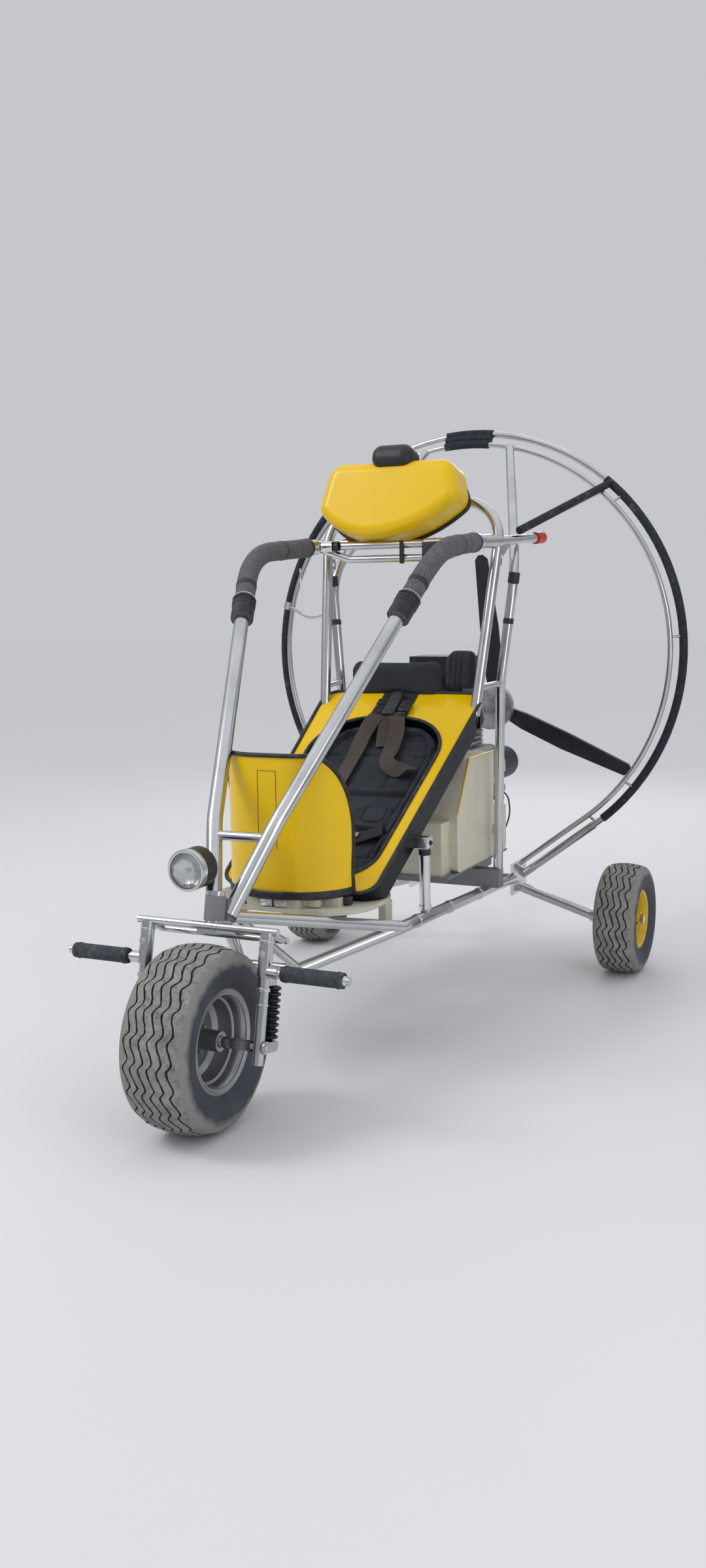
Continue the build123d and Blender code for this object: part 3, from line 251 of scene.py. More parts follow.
# Materials
class Look:
    """A node material that is built up in steps on one principled shader."""

    def __init__(self, name, colour, rough, metal=0.0):
        self.material = bpy.data.materials.new(name)
        self.material.use_nodes = True
        self.nodes = self.material.node_tree.nodes
        self.links = self.material.node_tree.links
        self.shader = self.nodes["Principled BSDF"]
        self.shader.inputs["Base Color"].default_value = (*colour, 1)
        self.shader.inputs["Roughness"].default_value = rough
        self.shader.inputs["Metallic"].default_value = metal
        self.colour = (*colour, 1)
        self.normal = None
        self.coords = self.nodes.new("ShaderNodeTexCoord").outputs["Object"]

    def set(self, values):
        for name, value in values.items():
            self.shader.inputs[name].default_value = value

    def node(self, kind, inputs, operation=None, data_type=None):
        return add_node(self.material.node_tree, kind, inputs, operation, data_type)

    def noise(self, scale, detail):
        inputs = {"Scale": scale, "Detail": detail, "Vector": self.coords}
        return self.node("TexNoise", inputs).outputs["Fac"]

    def ramp(self, value, low, high):
        """Value spread from low..high to 0..1."""
        return self.node("MapRange", {"From Min": low, "From Max": high, "Value": value}).outputs["Result"]

    def math(self, operation, a, b):
        return self.node("Math", {0: a, 1: b}, operation).outputs[0]

    def vector(self, operation, a, b):
        """The outputs of vector arithmetic, Vector and Value."""
        return self.node("VectorMath", {0: a, 1: b}, operation).outputs

    def along(self, direction, start):
        """Distance along a direction from a point, in the object's coordinates."""
        shifted = self.vector("SUBTRACT", self.coords, start)["Vector"]
        return self.vector("DOT_PRODUCT", shifted, direction)["Value"]

    def facing(self, direction):
        """How far the true normal points along a direction, as the object lies at rest."""
        turn = self.node("VectorTransform", {0: self.node("NewGeometry", {}).outputs["True Normal"]})
        turn.vector_type = "NORMAL"
        turn.convert_from = "WORLD"
        turn.convert_to = "OBJECT"
        return self.vector("DOT_PRODUCT", turn.outputs[0], direction)["Value"]

    def radial(self, centre):
        """Distance from an axis along X through a centre."""
        shifted = self.vector("SUBTRACT", self.coords, centre)["Vector"]
        flat = self.vector("MULTIPLY", shifted, (0, 1, 1))["Vector"]
        return self.vector("LENGTH", flat, (0, 0, 0))["Value"]

    def tint(self, colour, factor):
        """Mixes another colour over the one so far, by a factor."""
        mix = self.node("Mix", {"Factor": factor, 6: self.colour, 7: (*colour, 1)}, data_type="RGBA")
        self.colour = mix.outputs[2]
        self.links.new(self.colour, self.shader.inputs["Base Color"])

    def mottle(self, colour, scale, detail, low, high, most=None):
        """Tints in spots, where noise rises from low to high, by at most a share."""
        spots = self.ramp(self.noise(scale, detail), low, high)
        self.tint(colour, spots if most is None else self.math("MULTIPLY", spots, most))

    def vary_roughness(self, scale, detail, low, high):
        varied = self.node("MapRange", {"To Min": low, "To Max": high, "Value": self.noise(scale, detail)})
        self.links.new(varied.outputs["Result"], self.shader.inputs["Roughness"])

    def bump(self, scale, detail, distance, strength):
        """Relief from noise, over the relief so far."""
        inputs = {"Strength": strength, "Distance": distance, "Height": self.noise(scale, detail)}
        if self.normal is not None:
            inputs["Normal"] = self.normal
        self.normal = self.node("Bump", inputs).outputs[0]
        self.links.new(self.normal, self.shader.inputs["Normal"])
        return self


def shaded(colour, share):
    return tuple(value * share for value in colour)


def steel_look(name, colour, rough):
    look = Look(name, colour, rough, 1.0)
    look.mottle(shaded(colour, 0.72), 9, 6, 0.45, 0.85)
    look.vary_roughness(26, 5, rough - 0.05, rough + 0.09)
    return look.bump(300, 2, 0.00006, 0.4)


def yellow_look(name):
    look = Look(name, YELLOW, 0.30)
    look.set({"Coat Weight": 0.22, "Coat Roughness": 0.10, "Specular IOR Level": 0.3})
    look.mottle((0.82, 0.50, 0.003), 3.2, 3, 0.45, 0.75)
    look.mottle((0.62, 0.46, 0.12), 38, 8, 0.62, 0.9, 0.15)
    look.bump(7, 2, 0.004, 0.12)
    return look.bump(900, 2, 0.00025, 0.35)


def cloth_look(name, colour, second, weave=1500):
    look = Look(name, colour, 0.78)
    look.set({"Sheen Weight": 0.04, "Sheen Roughness": 0.5, "Specular IOR Level": 0.3})
    look.mottle(second, 11, 5, 0.35, 0.8)
    look.mottle((0.11, 0.105, 0.095), 60, 8, 0.60, 0.9, 0.4)
    look.bump(30, 5, 0.003, 0.35)
    return look.bump(weave, 2, 0.0004, 0.6)


def foam_look(name, colour, second, scale):
    look = Look(name, colour, 0.88)
    look.mottle(second, scale, 6, 0.42, 0.68)
    look.mottle((0.30, 0.30, 0.30), 24, 6, 0.6, 0.9, 0.45)
    return look.bump(scale * 3, 4, 0.0009, 0.8)


def rubber_look(name, colour, rough):
    look = Look(name, colour, rough)
    look.mottle((0.075, 0.073, 0.070), 35, 6, 0.5, 0.85)
    return look.bump(350, 4, 0.0005, 0.5)


def plastic_look(name, colour, rough, second):
    look = Look(name, colour, rough)
    look.mottle(second, 14, 5, 0.45, 0.85)
    look.vary_roughness(60, 4, rough - 0.06, rough + 0.12)
    return look.bump(700, 2, 0.0003, 0.4)


def casting_look(name):
    look = Look(name, (0.44, 0.44, 0.45), 0.42, 0.85)
    look.mottle((0.17, 0.16, 0.15), 28, 7, 0.5, 0.85)
    return look.bump(480, 4, 0.0006, 0.7)


def painted_look(name, colour, rough):
    look = Look(name, colour, rough)
    look.mottle(shaded(colour, 0.62), 19, 7, 0.5, 0.88)
    look.vary_roughness(48, 4, rough - 0.08, rough + 0.18)
    return look.bump(240, 3, 0.0004, 0.4)


def sidewall_look(name, centre, radius, width):
    """Dark sidewall, with dust from the tread that ends in a ragged edge."""
    look = Look(name, (0.028, 0.034, 0.046), 0.62)
    look.mottle((0.055, 0.062, 0.076), 12, 5, 0.35, 0.75)
    ragged = look.math("ADD", look.radial(centre), look.math("MULTIPLY", look.noise(34, 6), 0.022))
    edge = radius - width * 0.16
    look.tint((0.24, 0.23, 0.215), look.ramp(ragged, edge - 0.004, edge + 0.010))
    return look.bump(160, 6, 0.0008, 0.5)


def make_looks():
    """All shared materials, by the name that the pieces use."""
    looks = dict(
        steel=steel_look("stainless_tube", (0.60, 0.605, 0.61), 0.16),
        bright=steel_look("bright_metal", (0.72, 0.72, 0.71), 0.18),
        grey_metal=steel_look("wheel_steel", (0.36, 0.37, 0.38), 0.34),
        dull=steel_look("dull_metal", (0.33, 0.34, 0.35), 0.38),
        frame_grey=painted_look("frame_paint", (0.20, 0.205, 0.21), 0.45),
        yellow=yellow_look("yellow_shell"),
        yellow_rim=painted_look("yellow_rim", (0.72, 0.47, 0.012), 0.36),
        cloth=cloth_look("black_cloth", (0.016, 0.020, 0.028), (0.030, 0.037, 0.050)),
        pad=cloth_look("pad_cloth", (0.020, 0.024, 0.031), (0.035, 0.042, 0.055)),
        piping=rubber_look("black_piping", (0.012, 0.013, 0.016), 0.5),
        webbing=cloth_look("brown_webbing", (0.058, 0.044, 0.040), (0.088, 0.068, 0.060), 2600),
        black_webbing=cloth_look("black_webbing", (0.014, 0.015, 0.019), (0.026, 0.028, 0.034), 2600),
        foam=foam_look("grip_foam", (0.085, 0.087, 0.091), (0.17, 0.172, 0.178), 260),
        ring_foam=foam_look("ring_foam", (0.014, 0.017, 0.026), (0.028, 0.033, 0.046), 90),
        peg_foam=foam_look("peg_foam", (0.035, 0.040, 0.050), (0.062, 0.070, 0.085), 90),
        rubber=rubber_look("black_rubber", (0.020, 0.021, 0.024), 0.55),
        plastic=plastic_look("black_plastic", (0.014, 0.015, 0.018), 0.42, (0.034, 0.036, 0.042)),
        blade=plastic_look("blade_plastic", (0.012, 0.014, 0.020), 0.34, (0.022, 0.026, 0.036)),
        tank=plastic_look("tank_plastic", (0.66, 0.625, 0.50), 0.36, (0.57, 0.53, 0.41)),
        cream=painted_look("cream_paint", (0.56, 0.53, 0.44), 0.42),
        red=plastic_look("red_cap", (0.55, 0.035, 0.022), 0.30, (0.42, 0.025, 0.016)),
        casting=casting_look("engine_casting"),
        dark_metal=painted_look("dark_metal", (0.030, 0.031, 0.034), 0.5),
        gloss_rubber=plastic_look("gloss_rubber", (0.010, 0.010, 0.012), 0.22, (0.020, 0.020, 0.023)),
        groove=rubber_look("groove_rubber", (0.050, 0.048, 0.045), 0.85),
    )
    dust = Look("dusty_tread", (0.270, 0.262, 0.248), 0.92)
    dust.mottle((0.165, 0.160, 0.150), 75, 8, 0.45, 0.72)
    dust.mottle((0.38, 0.37, 0.35), 24, 6, 0.52, 0.80)
    dust.mottle((0.055, 0.052, 0.048), 210, 8, 0.60, 0.72)
    looks["dust"] = dust.bump(260, 8, 0.0012, 0.9)
    lens = Look("lamp_glass", (0.90, 0.93, 0.95), 0.05)
    lens.set({"Transmission Weight": 0.85, "IOR": 1.45})
    lens.tint((0.82, 0.86, 0.90), lens.noise(40, 2))
    looks["lens"] = lens.bump(220, 1, 0.0006, 0.25)
    return {name: look.material for name, look in looks.items()}


# Mesh helpers
def finish_piece(name, bm, looks, body, sharp_angle=38):
    """Turns a built mesh into a piece with its looks, that rides on a body."""
    bmesh.ops.recalc_face_normals(bm, faces=bm.faces)
    limit = radians(sharp_angle)
    for edge in bm.edges:
        if len(edge.link_faces) == 2:
            edge.smooth = edge.calc_face_angle(0) < limit
    for face in bm.faces:
        face.smooth = True
    mesh = bpy.data.meshes.new(name)
    bm.to_mesh(mesh)
    bm.free()
    for look in looks.split():
        mesh.materials.append(LOOKS[look])
    piece = add_object(name, mesh)
    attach(piece, body)
    return piece


def side_axes(axis):
    """Two directions across an axis."""
    first = axis.cross(Vector((0, 0, 1)) if abs(axis.z) < 0.9 else Vector((1, 0, 0))).normalized()
    return first, axis.cross(first).normalized()


def around(u, v, turn):
    """Direction at an angle, from two directions across an axis."""
    return u * cos(turn) + v * sin(turn)


def skin(bm, rings, material=0, closed=False):
    """Faces from ring to ring, each ring closed in itself; closed joins the last to the first."""
    for here, there in zip(rings, rings[1:] + (rings[:1] if closed else [])):
        for k, point in enumerate(here):
            after = (k + 1) % len(here)
            bm.faces.new((point, here[after], there[after], there[k])).material_index = material


def cap(bm, rings, material=0):
    """Faces on the first and the last ring."""
    for ring in (rings[0], rings[-1]):
        bm.faces.new(ring).material_index = material


def lathe(bm, outline, centre, axis, segments, material=0):
    """Surface of revolution from a closed outline of (along, radius) points in millimetres."""
    axis = Vector(axis).normalized()
    u, v = side_axes(axis)
    rings = []
    for step in range(segments):
        out = around(u, v, 2 * pi * step / segments)
        rings.append([bm.verts.new(centre + axis * a * MM + out * max(r, 0.001) * MM) for a, r in outline])
    skin(bm, rings, material, True)


def tube(bm, points, radius, sides=10, material=0, closed=False):
    """Round tube through points, all in metres; the radius may be one for each point."""
    points = [Vector(point) for point in points]
    count = len(points)
    rings = []
    across = None
    for index, point in enumerate(points):
        if closed:
            heading = points[(index + 1) % count] - points[index - 1]
        else:
            heading = points[min(index + 1, count - 1)] - points[max(index - 1, 0)]
        heading.normalize()
        if across is None:
            across = side_axes(heading)[0]
        across = (across - heading * across.dot(heading)).normalized()
        other = heading.cross(across)
        size = radius[index] if isinstance(radius, (list, tuple)) else radius
        rings.append([bm.verts.new(point + around(across, other, 2 * pi * k / sides) * size)
                      for k in range(sides)])
    skin(bm, rings, material, closed)
    if not closed:
        cap(bm, rings, material)


def smooth_points(points, steps=8, closed=False):
    """Points on a smooth curve through the given ones."""
    points = [Vector(point) for point in points]
    count = len(points)
    out = []
    for index in range(count if closed else count - 1):
        if closed:
            p0, p1, p2, p3 = (points[(index + k - 1) % count] for k in range(4))
        else:
            p1, p2 = points[index], points[index + 1]
            p0 = points[index - 1] if index else p1 * 2 - p2
            p3 = points[index + 2] if index + 2 < count else p2 * 2 - p1
        for step in range(steps):
            t = step / steps
            out.append(0.5 * (2 * p1 + (p2 - p0) * t + (2 * p0 - 5 * p1 + 4 * p2 - p3) * t * t
                              + (3 * p1 - p0 - 3 * p2 + p3) * t * t * t))
    if not closed:
        out.append(points[-1])
    return out


def ribbon(bm, points, across, width, thick, material=0):
    """Flat strap through points, with a direction across it at each point. Metres."""
    rings = []
    count = len(points)
    for index, point in enumerate(points):
        heading = (points[min(index + 1, count - 1)] - points[max(index - 1, 0)]).normalized()
        side = across[index] - heading * across[index].dot(heading)
        side.normalize()
        up = side.cross(heading)
        half, lift = side * width / 2, up * thick / 2
        edge = side * (width / 2 - thick * 0.5)
        rings.append([bm.verts.new(point + offset) for offset in
                      (half, edge + lift, -edge + lift, -half, -edge - lift, edge - lift)])
    skin(bm, rings, material)
    cap(bm, rings)


def rounded_box(bm, centre, axes, size, bevel, material=0, segments=3):
    """Box with rounded edges; axes are three directions, size and bevel in millimetres."""
    before = set(bm.faces)
    made = bmesh.ops.create_cube(bm, size=1.0)
    turn = Matrix([Vector(axis) for axis in axes]).transposed().to_4x4()
    scale = Matrix.Diagonal((size[0] * MM, size[1] * MM, size[2] * MM, 1))
    bmesh.ops.transform(bm, matrix=Matrix.Translation(centre) @ turn @ scale, verts=made["verts"])
    edges = list({edge for vert in made["verts"] for edge in vert.link_edges})
    bmesh.ops.bevel(bm, geom=edges, offset=bevel * MM, segments=segments, profile=0.5, affect="EDGES")
    for face in bm.faces:
        if face not in before:
            face.material_index = material


def bolt(bm, at, axis, radius=6.5, material=0, length=5.0):
    """Hexagon head on a washer."""
    axis = Vector(axis).normalized()
    lathe(bm, ((0, radius * 1.5), (1.6, radius * 1.5), (1.6, 0), (0, 0)), at, axis, 20, material)
    u, v = side_axes(axis)
    rings = [[bm.verts.new(at + axis * along * MM + around(u, v, k * pi / 3) * radius * share * MM)
              for k in range(6)] for along, share in ((1.6, 1.0), (length - 0.8, 1.0), (length, 0.86))]
    skin(bm, rings, material)
    cap(bm, rings, material)


def arc_through(start, middle, end, steps):
    """Points on the circle through three flat points."""
    (ax, ay), (bx, by), (cx, cy) = start, middle, end
    d = 2 * (ax * (by - cy) + bx * (cy - ay) + cx * (ay - by))
    ux = ((ax**2 + ay**2) * (by - cy) + (bx**2 + by**2) * (cy - ay) + (cx**2 + cy**2) * (ay - by)) / d
    uy = ((ax**2 + ay**2) * (cx - bx) + (bx**2 + by**2) * (ax - cx) + (cx**2 + cy**2) * (bx - ax)) / d
    radius = hypot(ax - ux, ay - uy)
    angles = [atan2(y - uy, x - ux) for x, y in (start, middle, end)]
    for index in (1, 2):
        while angles[index] - angles[index - 1] > pi:
            angles[index] -= 2 * pi
        while angles[index] - angles[index - 1] < -pi:
            angles[index] += 2 * pi
    sweep = angles[2] - angles[0]
    return [(ux + radius * cos(angles[0] + sweep * k / steps),
             uy + radius * sin(angles[0] + sweep * k / steps)) for k in range(steps + 1)]


def rounded_corners(corners, radii, steps=10):
    """Closed flat outline with each corner rounded."""
    out = []
    count = len(corners)
    for index, corner in enumerate(corners):
        here, radius = Vector(corner), radii[index]
        back = (Vector(corners[index - 1]) - here).normalized()
        ahead = (Vector(corners[(index + 1) % count]) - here).normalized()
        half = back.angle(ahead) / 2
        centre = here + (back + ahead).normalized() * radius / sin(half)
        start, end = here + back * radius / tan(half), here + ahead * radius / tan(half)
        turn = (start - centre).angle_signed(end - centre)
        for step in range(steps + 1):
            angle = turn * step / steps
            arm = start - centre
            out.append((centre.x + arm.x * cos(-angle) - arm.y * sin(-angle),
                        centre.y + arm.x * sin(-angle) + arm.y * cos(-angle)))
    return out


# Wheels
def tyre_columns(radius, width, flange, rim_width, grooves):
    """Columns across a tyre as (across, radius, swings, material) from one bead to the other."""
    half, crown_half = width / 2, width / 2 * 0.86
    shoulder = radius - width * 0.085
    sagitta = radius - shoulder
    crown_radius = (crown_half**2 + sagitta**2) / (2 * sagitta)

    def crown(x):
        return radius - crown_radius + sqrt(crown_radius**2 - x**2)

    bulge, bead = (half, (shoulder + flange) / 2), (rim_width / 2, flange + 2.3)
    side = arc_through((crown_half, shoulder), bulge, bead, 9)
    side += [(rim_width / 2 - 3, flange - 3)]
    columns = [(-x, r, 0.0, 2) for x, r in reversed(side)]
    pitch = 2 * crown_half * 1.04 / (grooves + 1)
    for index in range(grooves):
        middle = (index - (grooves - 1) / 2) * pitch
        edge, floor = GROOVE_WIDTH / 2, GROOVE_WIDTH / 4
        for offset, depth, kind in ((-pitch / 2, 0, 0), (-edge, 0, 1), (-floor, GROOVE_DEPTH, 1),
                                    (floor, GROOVE_DEPTH, 1), (edge, 0, 0)):
            x = middle + offset
            columns.append((x, crown(middle if depth else x) - depth, 1.0, kind))
    last = grooves * pitch / 2
    columns.append((last, crown(last), 1.0, 0))
    return columns + [(x, r, 0.0, 2) for x, r in side]


def make_tyre(name, body, centre, radius, width, flange, rim_width, grooves, waves):
    """Tyre with wavy grooves, its tread dusty and its sidewalls dark."""
    bm = bmesh.new()
    columns = tyre_columns(radius, width, flange, rim_width, grooves)
    segments = waves * WAVE_STEPS
    rings = []
    for step in range(segments):
        angle = 2 * pi * step / segments
        turn = 2 * pi * ((step / WAVE_STEPS) % 1.0)
        swing = WAVE_SWING * (sin(turn) - 0.22 * sin(2 * turn) + 0.08 * sin(3 * turn))
        ring = []
        for x, r, swings, kind in columns:
            spot = Vector((x * 0.11, cos(angle) * 21, sin(angle) * 21))
            rough = noise.noise(spot) if swings else 0
            calm = 1 - 0.6 * max(0, abs(x) / (width * 0.43) - 0.75) / 0.25
            across = x + swings * (swing * calm + rough * 2.4)
            out = r + rough * 0.6
            point = Vector((across, cos(angle) * out, sin(angle) * out))
            ring.append(bm.verts.new(centre + point * MM))
        rings.append(ring)
    for step in range(segments):
        here, there = rings[step], rings[(step + 1) % segments]
        for index in range(len(columns) - 1):
            face = bm.faces.new((here[index], here[index + 1], there[index + 1], there[index]))
            face.material_index = columns[index][3]
    side = name + "_sidewall"
    LOOKS[side] = sidewall_look(side, centre, radius * MM, width * MM).material
    piece = finish_piece(name + "_look", bm, "dust groove " + side, body, 50)
    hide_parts(name)


def rim_outline(flange, bead, half, web, hub_radius, hub_half):
    """Closed (along, radius) outline of a pressed rim with a stepped dish, from the open side round."""
    well = bead - 4
    return [(half, flange - 3), (half - 1, flange), (half - 4, flange), (half - 4, bead), (-half + 4, bead),
            (-half + 4, flange), (-half + 1, flange), (-half, flange - 3), (-half + 2, flange - 8),
            (-half + 7, well), (-half + 20, well - 3), (-half + 23, well - 9), (web - 14, well - 12),
            (web - 5, well * 0.78), (web - 3, hub_radius * 2.0), (web - 3, hub_radius + 3),
            (web - 12, hub_radius), (-hub_half, hub_radius - 2), (-hub_half, hub_radius * 0.55),
            (hub_half, hub_radius * 0.55), (hub_half, hub_radius - 2), (web + 16, hub_radius),
            (web + 6, hub_radius + 5), (web + 3, hub_radius * 2.0), (web + 1, well * 0.78),
            (web + 10, well - 10), (half - 34, well - 8), (half - 31, well - 3), (half - 16, well - 2),
            (half - 8, well + 2), (half - 3, flange - 9)]


def make_rim(name, body, centre, side, look, slot, studs, flange, bead, half, web, hub_radius, hub_half):
    """Pressed rim with its hub, stud bolts and valve."""
    bm = bmesh.new()
    axis = Vector((side, 0, 0))
    lathe(bm, rim_outline(flange, bead, half, web, hub_radius, hub_half), centre, axis, 72)
    u, v = side_axes(axis)
    circle = hub_radius * 1.55
    for index in range(studs):
        out = around(u, v, 2 * pi * index / studs + 0.4) * circle * MM
        bolt(bm, centre + axis * (web + 3) * MM + out, axis, 5.5, 1, 9)
    lathe(bm, ((web + 3, hub_radius + 12), (web + 7, hub_radius + 11), (web + 9, hub_radius + 4),
               (web + 9, hub_radius), (web + 3, hub_radius)), centre, axis, 36, 1)
    valve = centre + axis * (web + 12) * MM + u * (bead * 0.74) * MM
    tube(bm, (valve, valve + axis * 14 * MM, valve + axis * 30 * MM), (0.004, 0.0035, 0.003), 10, 2)
    piece = finish_piece(name + "_look", bm, look + " dull rubber", body)
    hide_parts(name)


def make_wheels():
    front = place(0, 0, FRONT_WHEEL["radius"])
    make_tyre("front_tyre", "front_wheel", front, **FRONT_WHEEL)
    make_rim("front_rim", "front_wheel", front, 1, "grey_metal", "rim_grey", 4, **FRONT_RIM)
    for side, word in ((1, "left"), (-1, "right")):
        centre, body = place(side * REAR_X, WHEELBASE, REAR_WHEEL["radius"]), "rear_wheel_" + word
        make_tyre("rear_tyre_" + word, body, centre, **REAR_WHEEL)
        make_rim("rear_rim_" + word, body, centre, side, "yellow_rim", "rim_yellow", 3, **REAR_RIM)


# Seat
def seat_point(x, along, up):
    """Point from places on the seat's rim plane: across, up the slope and above it."""
    return place(x, SEAT_FRONT[0] + along * cos(SEAT_LEAN) - up * sin(SEAT_LEAN),
                 SEAT_FRONT[1] + along * sin(SEAT_LEAN) + up * cos(SEAT_LEAN))


def seat_half(along):
    return SEAT_HALF_BOTTOM + (SEAT_HALF_TOP - SEAT_HALF_BOTTOM) * along / SEAT_LENGTH


def seat_outline(side, front, back, corner, top_corner):
    low, high = front, SEAT_LENGTH - back
    return rounded_corners([(-(seat_half(low) - side), low), (seat_half(low) - side, low),
                            (seat_half(high) - side, high), (-(seat_half(high) - side), high)],
                           (corner, corner, top_corner, top_corner))


SEAT_UP = (0, -sin(SEAT_LEAN), cos(SEAT_LEAN))


def make_seat_shell():
    """Yellow rim and black sides on the CAD shell, with black piping along the edges."""
    look = yellow_look("seat_shell_look")
    look.set({"Specular IOR Level": 0.15})
    top = look.ramp(look.facing(SEAT_UP), 0.6, 0.7)
    rim_plane = look.along(SEAT_UP, tuple(seat_point(0, 0, 0)))
    shown = look.math("MULTIPLY", top, look.ramp(rim_plane, -0.004, -0.002))
    look.tint((0.006, 0.007, 0.010), look.math("SUBTRACT", 1.0, shown))
    look.links.new(look.math("MULTIPLY", shown, 0.22), look.shader.inputs["Coat Weight"])
    paint("seat_shell", look.material)
    bm = bmesh.new()
    well = seat_outline(WELL["side"], WELL["front"], WELL["back"], 90, 150)
    for outline in (seat_outline(-1, -1, -1, 47, 47), well):
        tube(bm, [seat_point(x, along, 1) for x, along in outline], 0.005, 10, 0, True)
    finish_piece("seat_piping", bm, "piping", "frame")


def cushion_half(along, low, high):
    """Half width of the cushion, drawn in at its rounded corners."""
    inner = seat_half(along) - WELL["side"] - 7
    reach, corner = (along - low, 83) if along - low < high - along else (high - along, 143)
    if reach < corner:
        inner -= corner - sqrt(max(corner**2 - (corner - max(reach, 0))**2, 0))
    return max(inner, 8)


def swell(piece, most, frames=20):
    """Lets a closed skin swell as padded cloth, each point by at most a given way, and applies it."""
    remesh = piece.modifiers.new("skin", "REMESH")
    remesh.mode = "VOXEL"
    remesh.voxel_size = 0.0055
    apply_modifiers(piece)
    start = [vert.co.copy() for vert in piece.data.vertices]
    cloth = piece.modifiers.new("cloth", "CLOTH")
    cloth.settings.use_pressure = True
    cloth.settings.uniform_pressure_force = 4.0
    cloth.settings.effector_weights.gravity = 0.0
    cloth.settings.quality = 5
    cloth.collision_settings.use_self_collision = False
    cloth.collision_settings.use_collision = False
    cloth.point_cache.frame_end = frames
    for step in range(1, frames + 1):
        bpy.context.scene.frame_set(step)
    apply_modifiers(piece)
    bpy.context.scene.frame_set(1)
    for vert, first in zip(piece.data.vertices, start):
        move = vert.co - first
        if move.length > most * MM:
            move *= most * MM / move.length
        vert.co = first + move
    finer = piece.modifiers.new("finer", "SUBSURF")
    finer.levels = 1
    apply_modifiers(piece)


def seat_local(point):
    """Place on the seat as across, along and above its rim plane, in millimetres."""
    y = (point.y - AXLE_Y) / MM - SEAT_FRONT[0]
    z = point.z / MM - SEAT_FRONT[1]
    return (point.x / MM, y * cos(SEAT_LEAN) + z * sin(SEAT_LEAN),
            z * cos(SEAT_LEAN) - y * sin(SEAT_LEAN))


def bell(value, width):
    return exp(-(value / width)**2)


def step_up(value, low, high):
    """Smooth rise from 0 to 1."""
    t = min(max((value - low) / (high - low), 0), 1)
    return t * t * (3 - 2 * t)


def apply_modifiers(piece):
    """Bakes what the modifiers give into the piece's own mesh."""
    graph = bpy.context.evaluated_depsgraph_get()
    made = bpy.data.meshes.new_from_object(piece.evaluated_get(graph))
    piece.modifiers.clear()
    piece.data = made


def sewn(x, along, edge):
    """How far the sewn lines, the pouch and the wrinkles move the cushion's face, in millimetres."""
    low = 0.0
    for seam_along, from_x, to_x, bend, depth, width in CUSHION_SEAMS:
        here = along - seam_along - bend * (abs(x) / 160)**2
        reach = step_up(abs(x), from_x - 14, from_x + 2) * (1 - step_up(abs(x), to_x - 4, to_x))
        low -= depth * bell(here, width) * reach
    low -= 5 * bell(abs(x) - 66, 5) * step_up(along, 405, 430) * (1 - step_up(along, 540, 570))
    low -= 8 * bell(edge - 40, 6) * step_up(along, 90, 150)
    folds = noise.noise(Vector((edge * 0.11, along * 0.012, 3.0 if x > 0 else 7.0)))
    low += 5.5 * folds * bell(edge - 18, 18)
    low += 2.6 * noise.noise(Vector((x * 0.018, along * 0.020, 1.4)))
    px, pa = (abs(x) - 92) / 50, (along - 295) / 50
    pouch = 1 - step_up((px**4 + pa**4)**0.25, 0.80, 1.02)
    flap = bell((px**4 + (pa - 0.15)**4)**0.25 - 0.62, 0.07)
    return low + (17 * pouch - 6 * flap) * (1 if x > 0 else 0.8)


def make_cushion():
    """Padded cushion with a raised roll along its edge, sewn channels and a pouch at each side."""
    bm = bmesh.new()
    low, high = WELL["front"] + 6, SEAT_LENGTH - WELL["back"] - 6
    across_steps, along_steps = 54, 80
    top, bottom = [], []
    for j in range(along_steps + 1):
        along = low + (high - low) * j / along_steps
        half = cushion_half(along, low, high)
        row_top, row_bottom = [], []
        for i in range(across_steps + 1):
            x = half * (2 * i / across_steps - 1)
            edge = min(half - abs(x), along - low, high - along)
            roll = (24 + 8 * step_up(along, 520, 660)) * bell(edge - 18, 19)
            crown, drop = 4 * cos(pi * x / (2 * half)), 12 * max(0, 1 - edge / 8)**2
            up = CUSHION_FACE - 2 + roll + crown - drop
            row_top.append(bm.verts.new(seat_point(x, along, up)))
            row_bottom.append(bm.verts.new(seat_point(x * 0.98, along, CUSHION_FACE - 34)))
        top.append(row_top)
        bottom.append(row_bottom)
    for j in range(along_steps):
        for i in range(across_steps):
            bm.faces.new((top[j][i], top[j][i + 1], top[j + 1][i + 1], top[j + 1][i]))
            bm.faces.new((bottom[j][i], bottom[j + 1][i], bottom[j + 1][i + 1], bottom[j][i + 1]))
    border = ([(0, i) for i in range(across_steps)] + [(j, across_steps) for j in range(along_steps)]
              + [(along_steps, i) for i in range(across_steps, 0, -1)]
              + [(j, 0) for j in range(along_steps, 0, -1)])
    for index, (j, i) in enumerate(border):
        j2, i2 = border[(index + 1) % len(border)]
        bm.faces.new((top[j][i], bottom[j][i], bottom[j2][i2], top[j2][i2]))
    piece = finish_piece("seat_cushion_look", bm, "cloth", "frame", 180)
    swell(piece, 7)
    lift = Vector(SEAT_UP)
    for vert in piece.data.vertices:
        x, along, up = seat_local(vert.co)
        share = step_up(up, CUSHION_FACE - 22, CUSHION_FACE - 6)
        if share:
            edge = min(cushion_half(along, low, high) - abs(x), along - low, high - along)
            vert.co += lift * sewn(x, along, edge) * share * MM
    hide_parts("seat_cushion")


